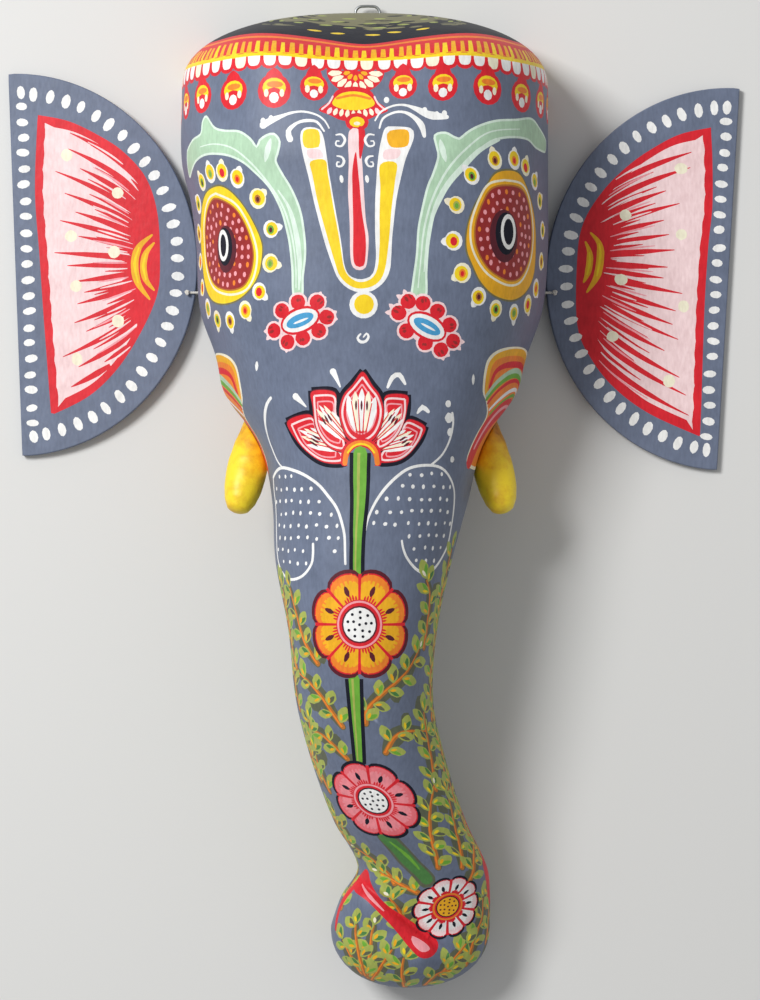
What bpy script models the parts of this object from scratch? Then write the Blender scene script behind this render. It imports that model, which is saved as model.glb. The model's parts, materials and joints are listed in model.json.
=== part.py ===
"""A papier-mache elephant head mask with a curled trunk, lying face up.

Metres. X runs across the face, Y up the face toward the crown, and Z out of the face.
The open back of the head lies on z = 0. The origin is under the middle of the whole mask.
"""

import math

import bmesh
import bpy

MM = 0.001

# Overall sizes of the head with its trunk
FACE_LENGTH = 405 * MM
HEAD_WIDTH = 150 * MM
HEAD_DEPTH = 98 * MM
WALL = 3.2 * MM

# Gap kept between pieces that touch
CLEARANCE = 0.3 * MM

# Flat ears, each a half-round plate with its straight edge outward
EAR_LENGTH = 161 * MM
EAR_REACH = 77 * MM
EAR_THICKNESS = 3.4 * MM
EAR_EDGE_ROUNDING = 0.5 * MM
EAR_GAP = 1.6 * MM
EAR_LIFT = 4.6 * MM
EAR_LEFT_DOWN = 104 * MM
EAR_RIGHT_DOWN = 110 * MM
EAR_LEFT_LEAN = math.radians(2.1)
EAR_RIGHT_LEAN = math.radians(-3.4)

# Rolled paper tusks, glued under the cheeks
TUSK_LENGTH = 50 * MM
TUSK_RADIUS = 9.2 * MM
TUSK_ROOT_SINK = 7.4 * MM
TUSK_ROOT_DOWN = 162 * MM
TUSK_ROOT_HEIGHT = 29 * MM
TUSK_DIRECTION = (0.20, -0.92, 0.34)

# Wire loop through the top of the rim
WIRE_RADIUS = 0.6 * MM
LOOP_WIDTH = 10.5 * MM
LOOP_RISE = 4.6 * MM
LOOP_MIDDLE = 1 * MM
LOOP_HEIGHT = 5 * MM
LOOP_CORNER = 3.2 * MM

# Threads that tie the ears to the rim
THREAD_RADIUS = 0.55 * MM
THREAD_CORNER = 1.1 * MM
TIE_DOWN = 116 * MM
TIE_EDGE = 3.4 * MM
TIE_LOW = 2.6 * MM
TIE_RISE = 6.3 * MM
KNOT_RADIUS = 1.3 * MM
HOLE_CLEARANCE = 0.35 * MM

# The face from crown to curl. Each row says how far down the face it is, as a share of its
# length, then its left and right edges as shares of half the head's width, then its back,
# its widest line and its front as shares of the head's depth, and how square it is.
STATIONS = (
    (0.084, -1.01, 1.01, -0.25, 0.17, 0.94, 2.7),
    (0.156, -1.01, 1.01, -0.25, 0.17, 1.00, 2.7),
    (0.198, -0.96, 1.01, -0.25, 0.17, 1.00, 2.7),
    (0.244, -0.93, 1.01, -0.24, 0.18, 1.00, 2.6),
    (0.306, -0.91, 0.98, -0.21, 0.21, 0.99, 2.5),
    (0.348, -0.83, 0.90, -0.15, 0.27, 0.97, 2.4),
    (0.400, -0.71, 0.77, -0.05, 0.36, 0.95, 2.3),
    (0.451, -0.56, 0.63, 0.06, 0.46, 0.95, 2.2),
    (0.501, -0.50, 0.56, 0.18, 0.54, 0.95, 2.1),
    (0.561, -0.48, 0.47, 0.26, 0.60, 0.95, 2.0),
    (0.630, -0.41, 0.39, 0.30, 0.62, 0.93, 2.0),
    (0.701, -0.37, 0.37, 0.28, 0.57, 0.86, 2.0),
    (0.762, -0.29, 0.44, 0.21, 0.49, 0.77, 2.0),
    (0.825, -0.17, 0.55, 0.13, 0.40, 0.66, 2.0),
    (0.874, -0.04, 0.67, 0.05, 0.30, 0.54, 2.1),
    (0.905, -0.13, 0.69, 0.01, 0.24, 0.48, 2.2),
    (0.937, -0.19, 0.69, -0.015, 0.21, 0.43, 2.2),
)
BORE_END = 0.80
BORE_ROUNDING = 12 * MM

# How square the crown and the end of the curl close, and how far the crown slopes forward
CROWN_SQUARENESS = 2.4
CURL_SQUARENESS = 2.2
CROWN_SLOPE = 0.25
CROWN_EASE = 10 * MM

# Twin domes of the brow, as shares of the face length apart from their height
DOME_HEIGHT = 3.2 * MM
DOME_SPREAD = 0.100
DOME_WIDTH = 0.052
DOME_DOWN = 0.065
DOME_LENGTH = 0.070
DOME_LEAN = 0.7

# Swollen lips round the tusks
LIP_HEIGHT = 3.0 * MM
LIP_DOWN = 0.392
LIP_LENGTH = 0.026
LIP_DEPTH = 0.42
LIP_THICKNESS = 0.15

# The tip of the trunk folds over along a slanting lip. Its ends are shares of the face
# length, across and down.
FOLD_START = (-0.013, 0.890)
FOLD_END = (0.083, 0.972)
FOLD_HEIGHT = 5.0 * MM
FOLD_SOFTNESS = 2.0 * MM
FOLD_FADE = 30 * MM
GROOVE_DEPTH = 2.2 * MM
GROOVE_WIDTH = 1.8 * MM

# How finely the solids are faceted
SECTION_POINTS = 52
BORE_POINTS = 28
ROW_STEP = 11 * MM
CURL_STEP = 3.4 * MM
CURL_FROM = 0.85
CROWN_ROWS = 8
CURL_ROWS = 6
EAR_ARC_POINTS = 40
CORNER_POINTS = 4


def clear_scene():
    for item in list(bpy.data.objects):
        bpy.data.objects.remove(item, do_unlink=True)


def new_collection(name):
    collection = bpy.data.collections.new(name)
    bpy.context.scene.collection.children.link(collection)
    return collection


def paint(name, colour, roughness, metallic=0.0):
    material = bpy.data.materials.new(name)
    material.use_nodes = True
    shader = material.node_tree.nodes["Principled BSDF"]
    shader.inputs["Base Color"].default_value = (*colour, 1)
    shader.inputs["Roughness"].default_value = roughness
    shader.inputs["Metallic"].default_value = metallic
    return material


def smooth_step(low, high, value):
    share = min(max((value - low) / (high - low), 0), 1)
    return share * share * (3 - 2 * share)


def bell(value, centre, width):
    return math.exp(-(((value - centre) / width) ** 2))


def slope_at(index, column):
    """Slope of a column of the stations at one of its rows."""
    before = STATIONS[max(index - 1, 0)]
    after = STATIONS[min(index + 1, len(STATIONS) - 1)]
    return (after[column] - before[column]) / (after[0] - before[0])


def station(down):
    """The face's shares at any distance down it, on smooth curves through the stations."""
    down = min(max(down, STATIONS[0][0]), STATIONS[-1][0])
    index = max(i for i in range(len(STATIONS) - 1) if STATIONS[i][0] <= down)
    a, b = STATIONS[index], STATIONS[index + 1]
    span = b[0] - a[0]
    t = (down - a[0]) / span
    shares = []
    for column in range(1, len(a)):
        shares.append(
            a[column] * (2 * t**3 - 3 * t**2 + 1)
            + b[column] * (3 * t**2 - 2 * t**3)
            + slope_at(index, column) * span * (t**3 - 2 * t**2 + t)
            + slope_at(index + 1, column) * span * (t**3 - t**2)
        )
    return shares


def section(down, inset):
    """Middle, half width, back, widest line and front in metres, and the squareness."""
    left, right, back, wide, front, square = station(down)
    half = HEAD_WIDTH / 2
    return (
        (left + right) / 2 * half,
        (right - left) / 2 * half - inset,
        back * HEAD_DEPTH + inset,
        wide * HEAD_DEPTH,
        front * HEAD_DEPTH - inset,
        square,
    )


def relief(x, y, z, side):
    """What the brow, the lips and the folded tip add to a point of the face."""
    down = -y / FACE_LENGTH
    across = x / FACE_LENGTH
    domes = bell(abs(across), DOME_SPREAD, DOME_WIDTH) * bell(down, DOME_DOWN, DOME_LENGTH)
    domes *= DOME_HEIGHT * smooth_step(0.2, 0.7, z / HEAD_DEPTH)
    lips = LIP_HEIGHT * bell(down, LIP_DOWN, LIP_LENGTH) * bell(z / HEAD_DEPTH, LIP_DEPTH, LIP_THICKNESS)
    run = (FOLD_END[0] - FOLD_START[0], FOLD_END[1] - FOLD_START[1])
    length = math.hypot(*run)
    along = ((across - FOLD_START[0]) * run[0] + (down - FOLD_START[1]) * run[1]) / length**2
    past = ((down - FOLD_START[1]) * run[0] - (across - FOLD_START[0]) * run[1]) / length
    past *= FACE_LENGTH
    reach = (1 - smooth_step(0.78, 1.05, along)) * smooth_step(-0.45, 0.0, along)
    reach *= smooth_step(0.15, 0.30, z / HEAD_DEPTH)
    fold = FOLD_HEIGHT / (1 + math.exp(-past / FOLD_SOFTNESS)) * math.exp(-max(past, 0) / FOLD_FADE)
    groove = GROOVE_DEPTH * bell(past, -2 * FOLD_SOFTNESS, GROOVE_WIDTH)
    return (
        x + lips * side,
        y + domes * DOME_LEAN,
        z + domes + (fold - groove) * reach,
    )


def face_point(turn, row, inset):
    """A point of the face: turn runs round the section from the right edge over the front."""
    down, shrink, rise = row
    middle, half, back, wide, front, square = section(down, inset)
    across, toward = math.cos(turn), math.sin(turn)
    reach = shrink * (abs(across) ** square + abs(toward) ** square) ** (-1 / square)
    x = middle + half * reach * across
    z = wide + (front - wide if toward > 0 else wide - back) * reach * toward
    y = rise - down * FACE_LENGTH
    if rise > 0:
        past = z - wide
        lean = (math.sqrt(past**2 + CROWN_EASE**2) + past) / 2 - CROWN_EASE / 2
        y -= CROWN_SLOPE * lean * min(rise / (STATIONS[0][0] * FACE_LENGTH), 1)
    if inset > 0:
        return x, y, z
    return relief(x, y, z, math.copysign(min(abs(across) * reach, 1), across))


def closing_rows(down, height, square, rows, sign):
    """Rows that close an end of the face, from its full section toward its pole."""
    found = []
    for i in range(rows):
        angle = math.pi / 2 * (i / rows)
        reach = (math.cos(angle) ** square + math.sin(angle) ** square) ** (-1 / square)
        found.append((down, reach * math.cos(angle), sign * height * reach * math.sin(angle)))
    return found


def body_rows(start, end, step, curl_step):
    found = []
    down = start
    while down < end - 0.3 * curl_step / FACE_LENGTH:
        found.append((down, 1, 0))
        down += (curl_step if down >= CURL_FROM else step) / FACE_LENGTH
    return found


def loft(name, inset, around, end, end_height, end_square, step, curl_step):
    """A closed skin over the sections, from the crown's pole to the pole of the other end."""
    start = STATIONS[0][0]
    crown = closing_rows(start, start * FACE_LENGTH - inset, CROWN_SQUARENESS, CROWN_ROWS, 1)
    tip = closing_rows(end, end_height, end_square, CURL_ROWS, -1)
    rows = crown[:0:-1] + body_rows(start, end, step, curl_step) + tip
    shape = bmesh.new()
    rings = []
    for row in rows:
        turns = [2 * math.pi * i / around for i in range(around)]
        rings.append([shape.verts.new(face_point(turn, row, inset)) for turn in turns])
    for above, below in zip(rings, rings[1:]):
        for i in range(around):
            j = (i + 1) % around
            shape.faces.new((above[i], above[j], below[j], below[i]))
    top = shape.verts.new(face_point(0, (start, 0, start * FACE_LENGTH - inset), inset))
    bottom = shape.verts.new(face_point(0, (end, 0, -end_height), inset))
    for i in range(around):
        j = (i + 1) % around
        shape.faces.new((top, rings[0][j], rings[0][i]))
        shape.faces.new((bottom, rings[-1][i], rings[-1][j]))
    bmesh.ops.recalc_face_normals(shape, faces=shape.faces)
    mesh = bpy.data.meshes.new(name)
    shape.to_mesh(mesh)
    shape.free()
    mesh.shade_smooth()
    return mesh


def side_at(down, height, inset, side):
    """How far the face's side stands from the middle plane, at a height over the back."""
    middle, half, back, wide, front, square = section(down, inset)
    depth = front - wide if height > wide else wide - back
    share = min(abs(height - wide) / depth, 1)
    return middle + side * half * (1 - share**square) ** (1 / square)


def add_object(name, mesh, collection, material=None):
    item = bpy.data.objects.new(name, mesh)
    collection.objects.link(item)
    if material:
        mesh.materials.clear()
        mesh.materials.append(material)
    return item


def as_cutter(item):
    item.hide_render = True
    item.display_type = "WIRE"
    return item


def boolean(item, other, operation="DIFFERENCE"):
    modifier = item.modifiers.new(operation.title(), "BOOLEAN")
    modifier.operation = operation
    modifier.object = other
    modifier.solver = "EXACT"


def add_rod(name, start, end, radius, collection):
    """A round cutter between two points."""
    shape = bmesh.new()
    run = [b - a for a, b in zip(start, end)]
    length = math.hypot(*run)
    bmesh.ops.create_cone(
        shape, cap_ends=True, segments=12, radius1=radius, radius2=radius, depth=length
    )
    mesh = bpy.data.meshes.new(name)
    shape.to_mesh(mesh)
    shape.free()
    rod = as_cutter(add_object(name, mesh, collection))
    rod.location = [(a + b) / 2 for a, b in zip(start, end)]
    rod.rotation_euler = (
        math.acos(run[2] / length) if abs(run[1]) > 0 or abs(run[0]) > 0 else 0,
        0,
        math.atan2(run[1], run[0]) + math.pi / 2,
    )
    return rod


def rounded_box_path(low, high, corner):
    """Points round a rectangle with rounded corners, in its own plane."""
    points = []
    centres = (
        (high[0] - corner, high[1] - corner, 0),
        (low[0] + corner, high[1] - corner, 1),
        (low[0] + corner, low[1] + corner, 2),
        (high[0] - corner, low[1] + corner, 3),
    )
    for cx, cy, quarter in centres:
        for i in range(CORNER_POINTS):
            angle = math.pi / 2 * (quarter + i / (CORNER_POINTS - 1))
            points.append((cx + corner * math.cos(angle), cy + corner * math.sin(angle)))
    return points


def tube_mesh(name, points, radius, cyclic, resolution=2, swell=None):
    """A mesh tube along a path, closed on itself or capped."""
    curve = bpy.data.curves.new(name, "CURVE")
    curve.dimensions = "3D"
    curve.bevel_depth = radius
    curve.bevel_resolution = resolution
    curve.use_fill_caps = not cyclic
    spline = curve.splines.new("POLY")
    spline.points.add(len(points) - 1)
    for i, (spot, point) in enumerate(zip(spline.points, points)):
        spot.co = (*point, 1)
        spot.radius = swell[i] if swell else 1
    spline.use_cyclic_u = cyclic
    holder = bpy.data.objects.new(name, curve)
    bpy.context.scene.collection.objects.link(holder)
    bpy.context.view_layer.update()
    ready = holder.evaluated_get(bpy.context.evaluated_depsgraph_get())
    mesh = bpy.data.meshes.new_from_object(ready)
    bpy.data.objects.remove(holder, do_unlink=True)
    shape = bmesh.new()
    shape.from_mesh(mesh)
    bmesh.ops.remove_doubles(shape, verts=shape.verts, dist=0.01 * MM)
    bmesh.ops.recalc_face_normals(shape, faces=shape.faces)
    shape.to_mesh(mesh)
    shape.free()
    mesh.shade_smooth()
    return mesh


def make_head(parts, cutters):
    curl_height = (1 - STATIONS[-1][0]) * FACE_LENGTH
    skin = loft("head", 0, SECTION_POINTS, STATIONS[-1][0], curl_height, CURL_SQUARENESS, ROW_STEP, CURL_STEP)
    head = add_object("head", skin, parts, paint("Slate paint on papier-mache", (0.11, 0.14, 0.18), 0.5))
    bore = loft("bore", WALL, BORE_POINTS, BORE_END, BORE_ROUNDING, 2, 1.6 * ROW_STEP, ROW_STEP)
    boolean(head, as_cutter(add_object("bore", bore, cutters)))
    block = bmesh.new()
    bmesh.ops.create_cube(block, size=1)
    mesh = bpy.data.meshes.new("back_plane")
    block.to_mesh(mesh)
    block.free()
    back = as_cutter(add_object("back_plane", mesh, cutters))
    back.scale = (2 * HEAD_WIDTH, 2 * FACE_LENGTH, HEAD_DEPTH)
    back.location = (0, -FACE_LENGTH / 2, -HEAD_DEPTH / 2)
    boolean(head, back)
    return head


def make_tusk(name, side, parts, cutters, clearance_skin):
    """A blunt cone, cut where it sits against the face."""
    size = math.hypot(*TUSK_DIRECTION)
    run = [part / size for part in TUSK_DIRECTION]
    shares = (0, 0.2, 0.4, 0.6, 0.75, 0.87, 0.95, 0.99, 1)
    swell = (0.90, 1.0, 1.04, 1.0, 0.93, 0.80, 0.62, 0.38, 0.12)
    root = side_at(TUSK_ROOT_DOWN / FACE_LENGTH, TUSK_ROOT_HEIGHT, 0, side) - side * TUSK_ROOT_SINK
    points = []
    for share in shares:
        far = share * TUSK_LENGTH
        x = root + side * run[0] * far
        points.append((x, run[1] * far - TUSK_ROOT_DOWN, TUSK_ROOT_HEIGHT + run[2] * far))
    mesh = tube_mesh(name, points, TUSK_RADIUS, False, 5, swell)
    tusk = add_object(name, mesh, parts, paint(f"Yellow paint on {name}", (0.85, 0.60, 0.04), 0.45))
    boolean(tusk, clearance_skin)
    return tusk


def ear_place(side):
    """Where an ear's straight edge has its middle, its lean, and its tilt."""
    down = EAR_LEFT_DOWN if side < 0 else EAR_RIGHT_DOWN
    tilt = math.asin(EAR_LIFT / EAR_REACH)
    rim = side_at(down / FACE_LENGTH, EAR_LIFT + EAR_THICKNESS, 0, side)
    x = rim + side * (EAR_GAP + EAR_REACH * math.cos(tilt))
    z = EAR_THICKNESS / 2 * math.cos(tilt)
    return (x, -down, z), EAR_LEFT_LEAN if side < 0 else EAR_RIGHT_LEAN, tilt


def make_ear(name, side, parts):
    curve = bpy.data.curves.new(name, "CURVE")
    curve.dimensions = "2D"
    curve.fill_mode = "BOTH"
    curve.extrude = EAR_THICKNESS / 2
    spline = curve.splines.new("POLY")
    spline.points.add(EAR_ARC_POINTS - 1)
    for i, spot in enumerate(spline.points):
        angle = math.pi * (i / (EAR_ARC_POINTS - 1) - 0.5)
        spot.co = (EAR_REACH * math.cos(angle), EAR_LENGTH / 2 * math.sin(angle), 0, 1)
    spline.use_cyclic_u = True
    holder = bpy.data.objects.new(name, curve)
    bpy.context.scene.collection.objects.link(holder)
    bpy.context.view_layer.update()
    ready = holder.evaluated_get(bpy.context.evaluated_depsgraph_get())
    mesh = bpy.data.meshes.new_from_object(ready)
    bpy.data.objects.remove(holder, do_unlink=True)
    shape = bmesh.new()
    shape.from_mesh(mesh)
    bmesh.ops.remove_doubles(shape, verts=shape.verts, dist=0.01 * MM)
    bmesh.ops.dissolve_limit(
        shape, angle_limit=math.radians(1), verts=shape.verts, edges=shape.edges
    )
    bmesh.ops.recalc_face_normals(shape, faces=shape.faces)
    shape.to_mesh(mesh)
    shape.free()
    ear = add_object(name, mesh, parts, paint(f"Slate paint on {name}", (0.12, 0.15, 0.19), 0.5))
    place, lean, tilt = ear_place(side)
    ear.location = place
    ear.rotation_euler = (0, -tilt, lean + (0 if side < 0 else math.pi))
    rounding = ear.modifiers.new("Worn edge", "BEVEL")
    rounding.width = EAR_EDGE_ROUNDING
    rounding.segments = 2
    rounding.limit_method = "ANGLE"
    rounding.angle_limit = math.radians(40)
    return ear


def make_tie(name, side, parts, cutters, ear, head):
    """A knotted ring of thread through the ear and two holes of the rim."""
    place, lean, tilt = ear_place(side)
    off = (-TIE_DOWN - place[1]) / (EAR_LENGTH / 2)
    edge = place[0] - side * EAR_REACH * math.cos(tilt) * math.sqrt(1 - off**2)
    hole_x = edge + side * TIE_EDGE
    top = TIE_LOW + TIE_RISE
    inner = side_at(TIE_DOWN / FACE_LENGTH, TIE_LOW, WALL, side)
    inner -= side * (THREAD_RADIUS + 2 * CLEARANCE)
    low = (min(hole_x, inner), TIE_LOW)
    high = (max(hole_x, inner), top)
    points = [(x, -TIE_DOWN, z) for x, z in rounded_box_path(low, high, THREAD_CORNER)]
    mesh = tube_mesh(name, points, THREAD_RADIUS, True)
    tie = add_object(name, mesh, parts, paint(f"White cotton of {name}", (0.80, 0.79, 0.74), 0.9))
    knot_shape = bmesh.new()
    bmesh.ops.create_icosphere(knot_shape, subdivisions=2, radius=KNOT_RADIUS)
    knot_mesh = bpy.data.meshes.new(f"{name}_knot")
    knot_shape.to_mesh(knot_mesh)
    knot_shape.free()
    knot = as_cutter(add_object(f"{name}_knot", knot_mesh, cutters))
    knot.location = (hole_x, -TIE_DOWN, top + KNOT_RADIUS - THREAD_RADIUS)
    boolean(tie, knot, "UNION")
    radius = THREAD_RADIUS + HOLE_CLEARANCE
    through = add_rod(
        f"{name}_ear_hole", (hole_x, -TIE_DOWN, -TIE_LOW), (hole_x, -TIE_DOWN, 2 * top), radius, cutters
    )
    boolean(ear, through)
    for i, z in enumerate((TIE_LOW, top)):
        start = (inner - side * WALL, -TIE_DOWN, z)
        end = (edge, -TIE_DOWN, z)
        boolean(head, add_rod(f"{name}_rim_hole_{i}", start, end, radius, cutters))
    return tie


def make_hanging_loop(parts, cutters, head):
    """A ring of wire, in and out of the top of the crown just above its rim."""
    half = LOOP_WIDTH / 2
    low = (LOOP_MIDDLE - half, -WALL - 4 * WIRE_RADIUS - 2 * CLEARANCE)
    high = (LOOP_MIDDLE + half, LOOP_RISE)
    points = [(x, y, LOOP_HEIGHT) for x, y in rounded_box_path(low, high, LOOP_CORNER)]
    mesh = tube_mesh("hanging_loop", points, WIRE_RADIUS, True)
    add_object("hanging_loop", mesh, parts, paint("Galvanised wire", (0.45, 0.45, 0.44), 0.4, 1.0))
    radius = WIRE_RADIUS + HOLE_CLEARANCE
    for i, x in enumerate((low[0], high[0])):
        start = (x, low[1] - 3 * WIRE_RADIUS, LOOP_HEIGHT)
        end = (x, high[1], LOOP_HEIGHT)
        boolean(head, add_rod(f"loop_hole_{i}", start, end, radius, cutters))


def centre_on_origin(parts, cutters):
    """Hang everything on one empty, so that the origin lies under the middle of the mask."""
    half = EAR_LENGTH / 2
    ends = {}
    for side in (-1, 1):
        place, lean, tilt = ear_place(side)
        ends[side] = place[0] + side * half * math.sin(abs(lean))
    lowest = -FACE_LENGTH
    highest = LOOP_RISE + WIRE_RADIUS
    middle = bpy.data.objects.new("mask_middle", None)
    parts.objects.link(middle)
    middle.location = (-(ends[-1] + ends[1]) / 2, -(lowest + highest) / 2, 0)
    for item in list(parts.objects) + list(cutters.objects):
        if item is not middle:
            item.parent = middle


def main():
    clear_scene()
    parts = new_collection("Elephant head mask")
    cutters = new_collection("Cutters")
    head = make_head(parts, cutters)
    curl_height = (1 - STATIONS[-1][0]) * FACE_LENGTH
    clear_mesh = loft(
        "clearance_skin", 0, SECTION_POINTS, STATIONS[-1][0], curl_height, CURL_SQUARENESS, ROW_STEP, CURL_STEP
    )
    clearance_skin = as_cutter(add_object("clearance_skin", clear_mesh, cutters))
    swell = clearance_skin.modifiers.new("Glue line", "DISPLACE")
    swell.mid_level = 0
    swell.strength = CLEARANCE
    for name, side in (("left", -1), ("right", 1)):
        make_tusk(f"tusk_{name}", side, parts, cutters, clearance_skin)
        ear = make_ear(f"ear_{name}", side, parts)
        make_tie(f"tie_{name}", side, parts, cutters, ear, head)
    make_hanging_loop(parts, cutters, head)
    centre_on_origin(parts, cutters)


main()
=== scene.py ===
# Painted papier-mache elephant head mask of Ganesha, lying face up.
import json
import math
from random import seed, uniform

import bmesh
import bpy
import numpy as np
from mathutils import Euler, Matrix, Vector
from mathutils.bvhtree import BVHTree
from mathutils.geometry import delaunay_2d_cdt

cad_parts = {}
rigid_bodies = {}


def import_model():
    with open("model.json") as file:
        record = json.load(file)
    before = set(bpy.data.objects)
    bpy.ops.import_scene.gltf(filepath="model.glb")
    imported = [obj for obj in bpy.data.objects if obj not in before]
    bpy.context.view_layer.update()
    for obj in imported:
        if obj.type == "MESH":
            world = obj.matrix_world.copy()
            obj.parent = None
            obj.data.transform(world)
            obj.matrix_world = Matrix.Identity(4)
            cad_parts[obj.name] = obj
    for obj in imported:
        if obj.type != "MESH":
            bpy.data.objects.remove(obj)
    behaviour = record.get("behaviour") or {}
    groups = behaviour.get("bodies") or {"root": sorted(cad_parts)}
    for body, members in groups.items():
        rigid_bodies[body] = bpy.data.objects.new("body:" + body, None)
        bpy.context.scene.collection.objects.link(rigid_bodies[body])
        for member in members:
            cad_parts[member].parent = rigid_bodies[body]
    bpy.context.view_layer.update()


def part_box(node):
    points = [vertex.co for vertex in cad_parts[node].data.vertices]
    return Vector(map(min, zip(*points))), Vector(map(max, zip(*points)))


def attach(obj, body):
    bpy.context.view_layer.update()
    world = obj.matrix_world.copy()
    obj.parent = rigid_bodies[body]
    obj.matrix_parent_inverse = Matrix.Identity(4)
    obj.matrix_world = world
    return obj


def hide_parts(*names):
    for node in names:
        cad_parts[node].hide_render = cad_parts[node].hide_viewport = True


for item in list(bpy.data.objects):
    bpy.data.objects.remove(item, do_unlink=True)
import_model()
seed(7)
mm = 0.001

# The frame's origin lies under the middle of the whole mask. The head is worked out from its
# own middle line and the top of its crown, so this is added to each of its points.
maskMiddle = Vector((-0.0037019, 0.1999, 0.0))

view = {
    "height": 1.35,  # camera over the plane of the face, in metres
    "plane": 0.025,  # height of that plane over the back
    "pixel": 0.414 * mm,  # what one pixel of the photo covers on it
    "middle": (380, 500),  # the pixel the camera looks at
    "headPixel": (365, 10),  # where the head's own x = 0 and y = 0 lie
    "imageHeight": 1000,
}
eye = Vector(
    (
        (view["middle"][0] - view["headPixel"][0]) * view["pixel"],
        -(view["middle"][1] - view["headPixel"][1]) * view["pixel"],
        view["plane"] + view["height"],
    )
)


def photoRay(px, py):
    # from the camera through a pixel, in the head's own coordinates
    target = Vector(
        (
            (px - view["headPixel"][0]) * view["pixel"],
            -(py - view["headPixel"][1]) * view["pixel"],
            view["plane"],
        )
    )
    return (target - eye).normalized()


# Camera


def makeStage():
    camera = bpy.data.cameras.new("camera")
    camera.sensor_fit = "VERTICAL"
    camera.sensor_height = 36
    camera.lens = 36 * view["height"] / (view["imageHeight"] * view["pixel"])
    camera.clip_end = 20
    holder = linked("camera", camera)
    holder.location = eye + maskMiddle
    bpy.context.scene.camera = holder


# Helpers for objects and nodes


def linked(name, data):
    item = bpy.data.objects.new(name, data)
    bpy.context.collection.objects.link(item)
    return item


def linear(code):
    # sRGB hex to the linear colour Blender works in
    parts = [int(code[i : i + 2], 16) / 255 for i in (1, 3, 5)]
    return (*[p / 12.92 if p <= 0.04045 else ((p + 0.055) / 1.055) ** 2.4 for p in parts], 1)


def addNode(tree, kind, settings=None, links=None):
    # settings: a property's name or an input's name or number; links: input -> output socket
    node = tree.nodes.new(kind)
    for name, value in (settings or {}).items():
        if isinstance(name, str) and hasattr(node, name):
            setattr(node, name, value)
        else:
            node.inputs[name].default_value = value
    for name, socket in (links or {}).items():
        tree.links.new(socket, node.inputs[name])
    return node


def newMaterial(name):
    material = bpy.data.materials.new(name)
    material.use_nodes = True
    return material, material.node_tree, material.node_tree.nodes["Principled BSDF"]


def noise(tree, place, scale, detail, roughness=0.5):
    settings = {"Scale": scale, "Detail": detail, "Roughness": roughness}
    return addNode(tree, "ShaderNodeTexNoise", settings, {"Vector": place}).outputs["Fac"]


def tint(tree, shader, factor, *stops):
    # the base colour runs through the stops, each a place from 0 to 1 and a colour
    ramp = addNode(tree, "ShaderNodeValToRGB", None, {"Fac": factor})
    elements = ramp.color_ramp.elements
    elements[0].position, elements[1].position = stops[0][0], stops[-1][0]
    elements[0].color, elements[1].color = stops[0][1], stops[-1][1]
    for place, colour in stops[1:-1]:
        elements.new(place).color = colour
    tree.links.new(ramp.outputs[0], shader.inputs["Base Color"])


def dull(tree, shader, factor, low, high):
    spread = addNode(tree, "ShaderNodeMapRange", {"To Min": low, "To Max": high}, {"Value": factor})
    tree.links.new(spread.outputs[0], shader.inputs["Roughness"])


def roughen(tree, shader, height, strength, distance):
    bump = addNode(tree, "ShaderNodeBump", {"Strength": strength, "Distance": distance}, {"Height": height})
    tree.links.new(bump.outputs[0], shader.inputs["Normal"])


# The face's surface

headForm = {
    "length": 405 * mm,
    "width": 150 * mm,
    "depth": 98 * mm,
    "wall": 3.2 * mm,
    "crownSquareness": 2.4,
    "curlSquareness": 2.2,
    "crownSlope": 0.25,
    "crownEase": 10 * mm,
    "domeHeight": 3.2 * mm,
    "domeLean": 0.7,
    "lipHeight": 3.0 * mm,
    "foldStart": (-0.013, 0.890),
    "foldEnd": (0.083, 0.972),
    "foldHeight": 5.0 * mm,
    "foldSoftness": 2.0 * mm,
    "foldFade": 30 * mm,
    "grooveDepth": 2.2 * mm,
    "grooveWidth": 1.8 * mm,
    "boreEnd": 0.80,
    "boreRounding": 12 * mm,
}

# How far down the face, its left and right edges as shares of half the width, its back, its
# widest line and its front as shares of the depth, and how square the section is there
stations = np.array(
    (
        (0.084, -1.01, 1.01, -0.25, 0.17, 0.94, 2.7),
        (0.156, -1.01, 1.01, -0.25, 0.17, 1.00, 2.7),
        (0.198, -0.96, 1.01, -0.25, 0.17, 1.00, 2.7),
        (0.244, -0.93, 1.01, -0.24, 0.18, 1.00, 2.6),
        (0.306, -0.91, 0.98, -0.21, 0.21, 0.99, 2.5),
        (0.348, -0.83, 0.90, -0.15, 0.27, 0.97, 2.4),
        (0.400, -0.71, 0.77, -0.05, 0.36, 0.95, 2.3),
        (0.451, -0.56, 0.63, 0.06, 0.46, 0.95, 2.2),
        (0.501, -0.50, 0.56, 0.18, 0.54, 0.95, 2.1),
        (0.561, -0.48, 0.47, 0.26, 0.60, 0.95, 2.0),
        (0.630, -0.41, 0.39, 0.30, 0.62, 0.93, 2.0),
        (0.701, -0.37, 0.37, 0.28, 0.57, 0.86, 2.0),
        (0.762, -0.29, 0.44, 0.21, 0.49, 0.77, 2.0),
        (0.825, -0.17, 0.55, 0.13, 0.40, 0.66, 2.0),
        (0.874, -0.04, 0.67, 0.05, 0.30, 0.54, 2.1),
        (0.905, -0.13, 0.69, 0.01, 0.24, 0.48, 2.2),
        (0.937, -0.19, 0.69, -0.015, 0.21, 0.43, 2.2),
    )
)
stationSlopes = np.array(
    [
        (stations[min(i + 1, 16)] - stations[max(i - 1, 0)])
        / (stations[min(i + 1, 16), 0] - stations[max(i - 1, 0), 0])
        for i in range(17)
    ]
)


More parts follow.
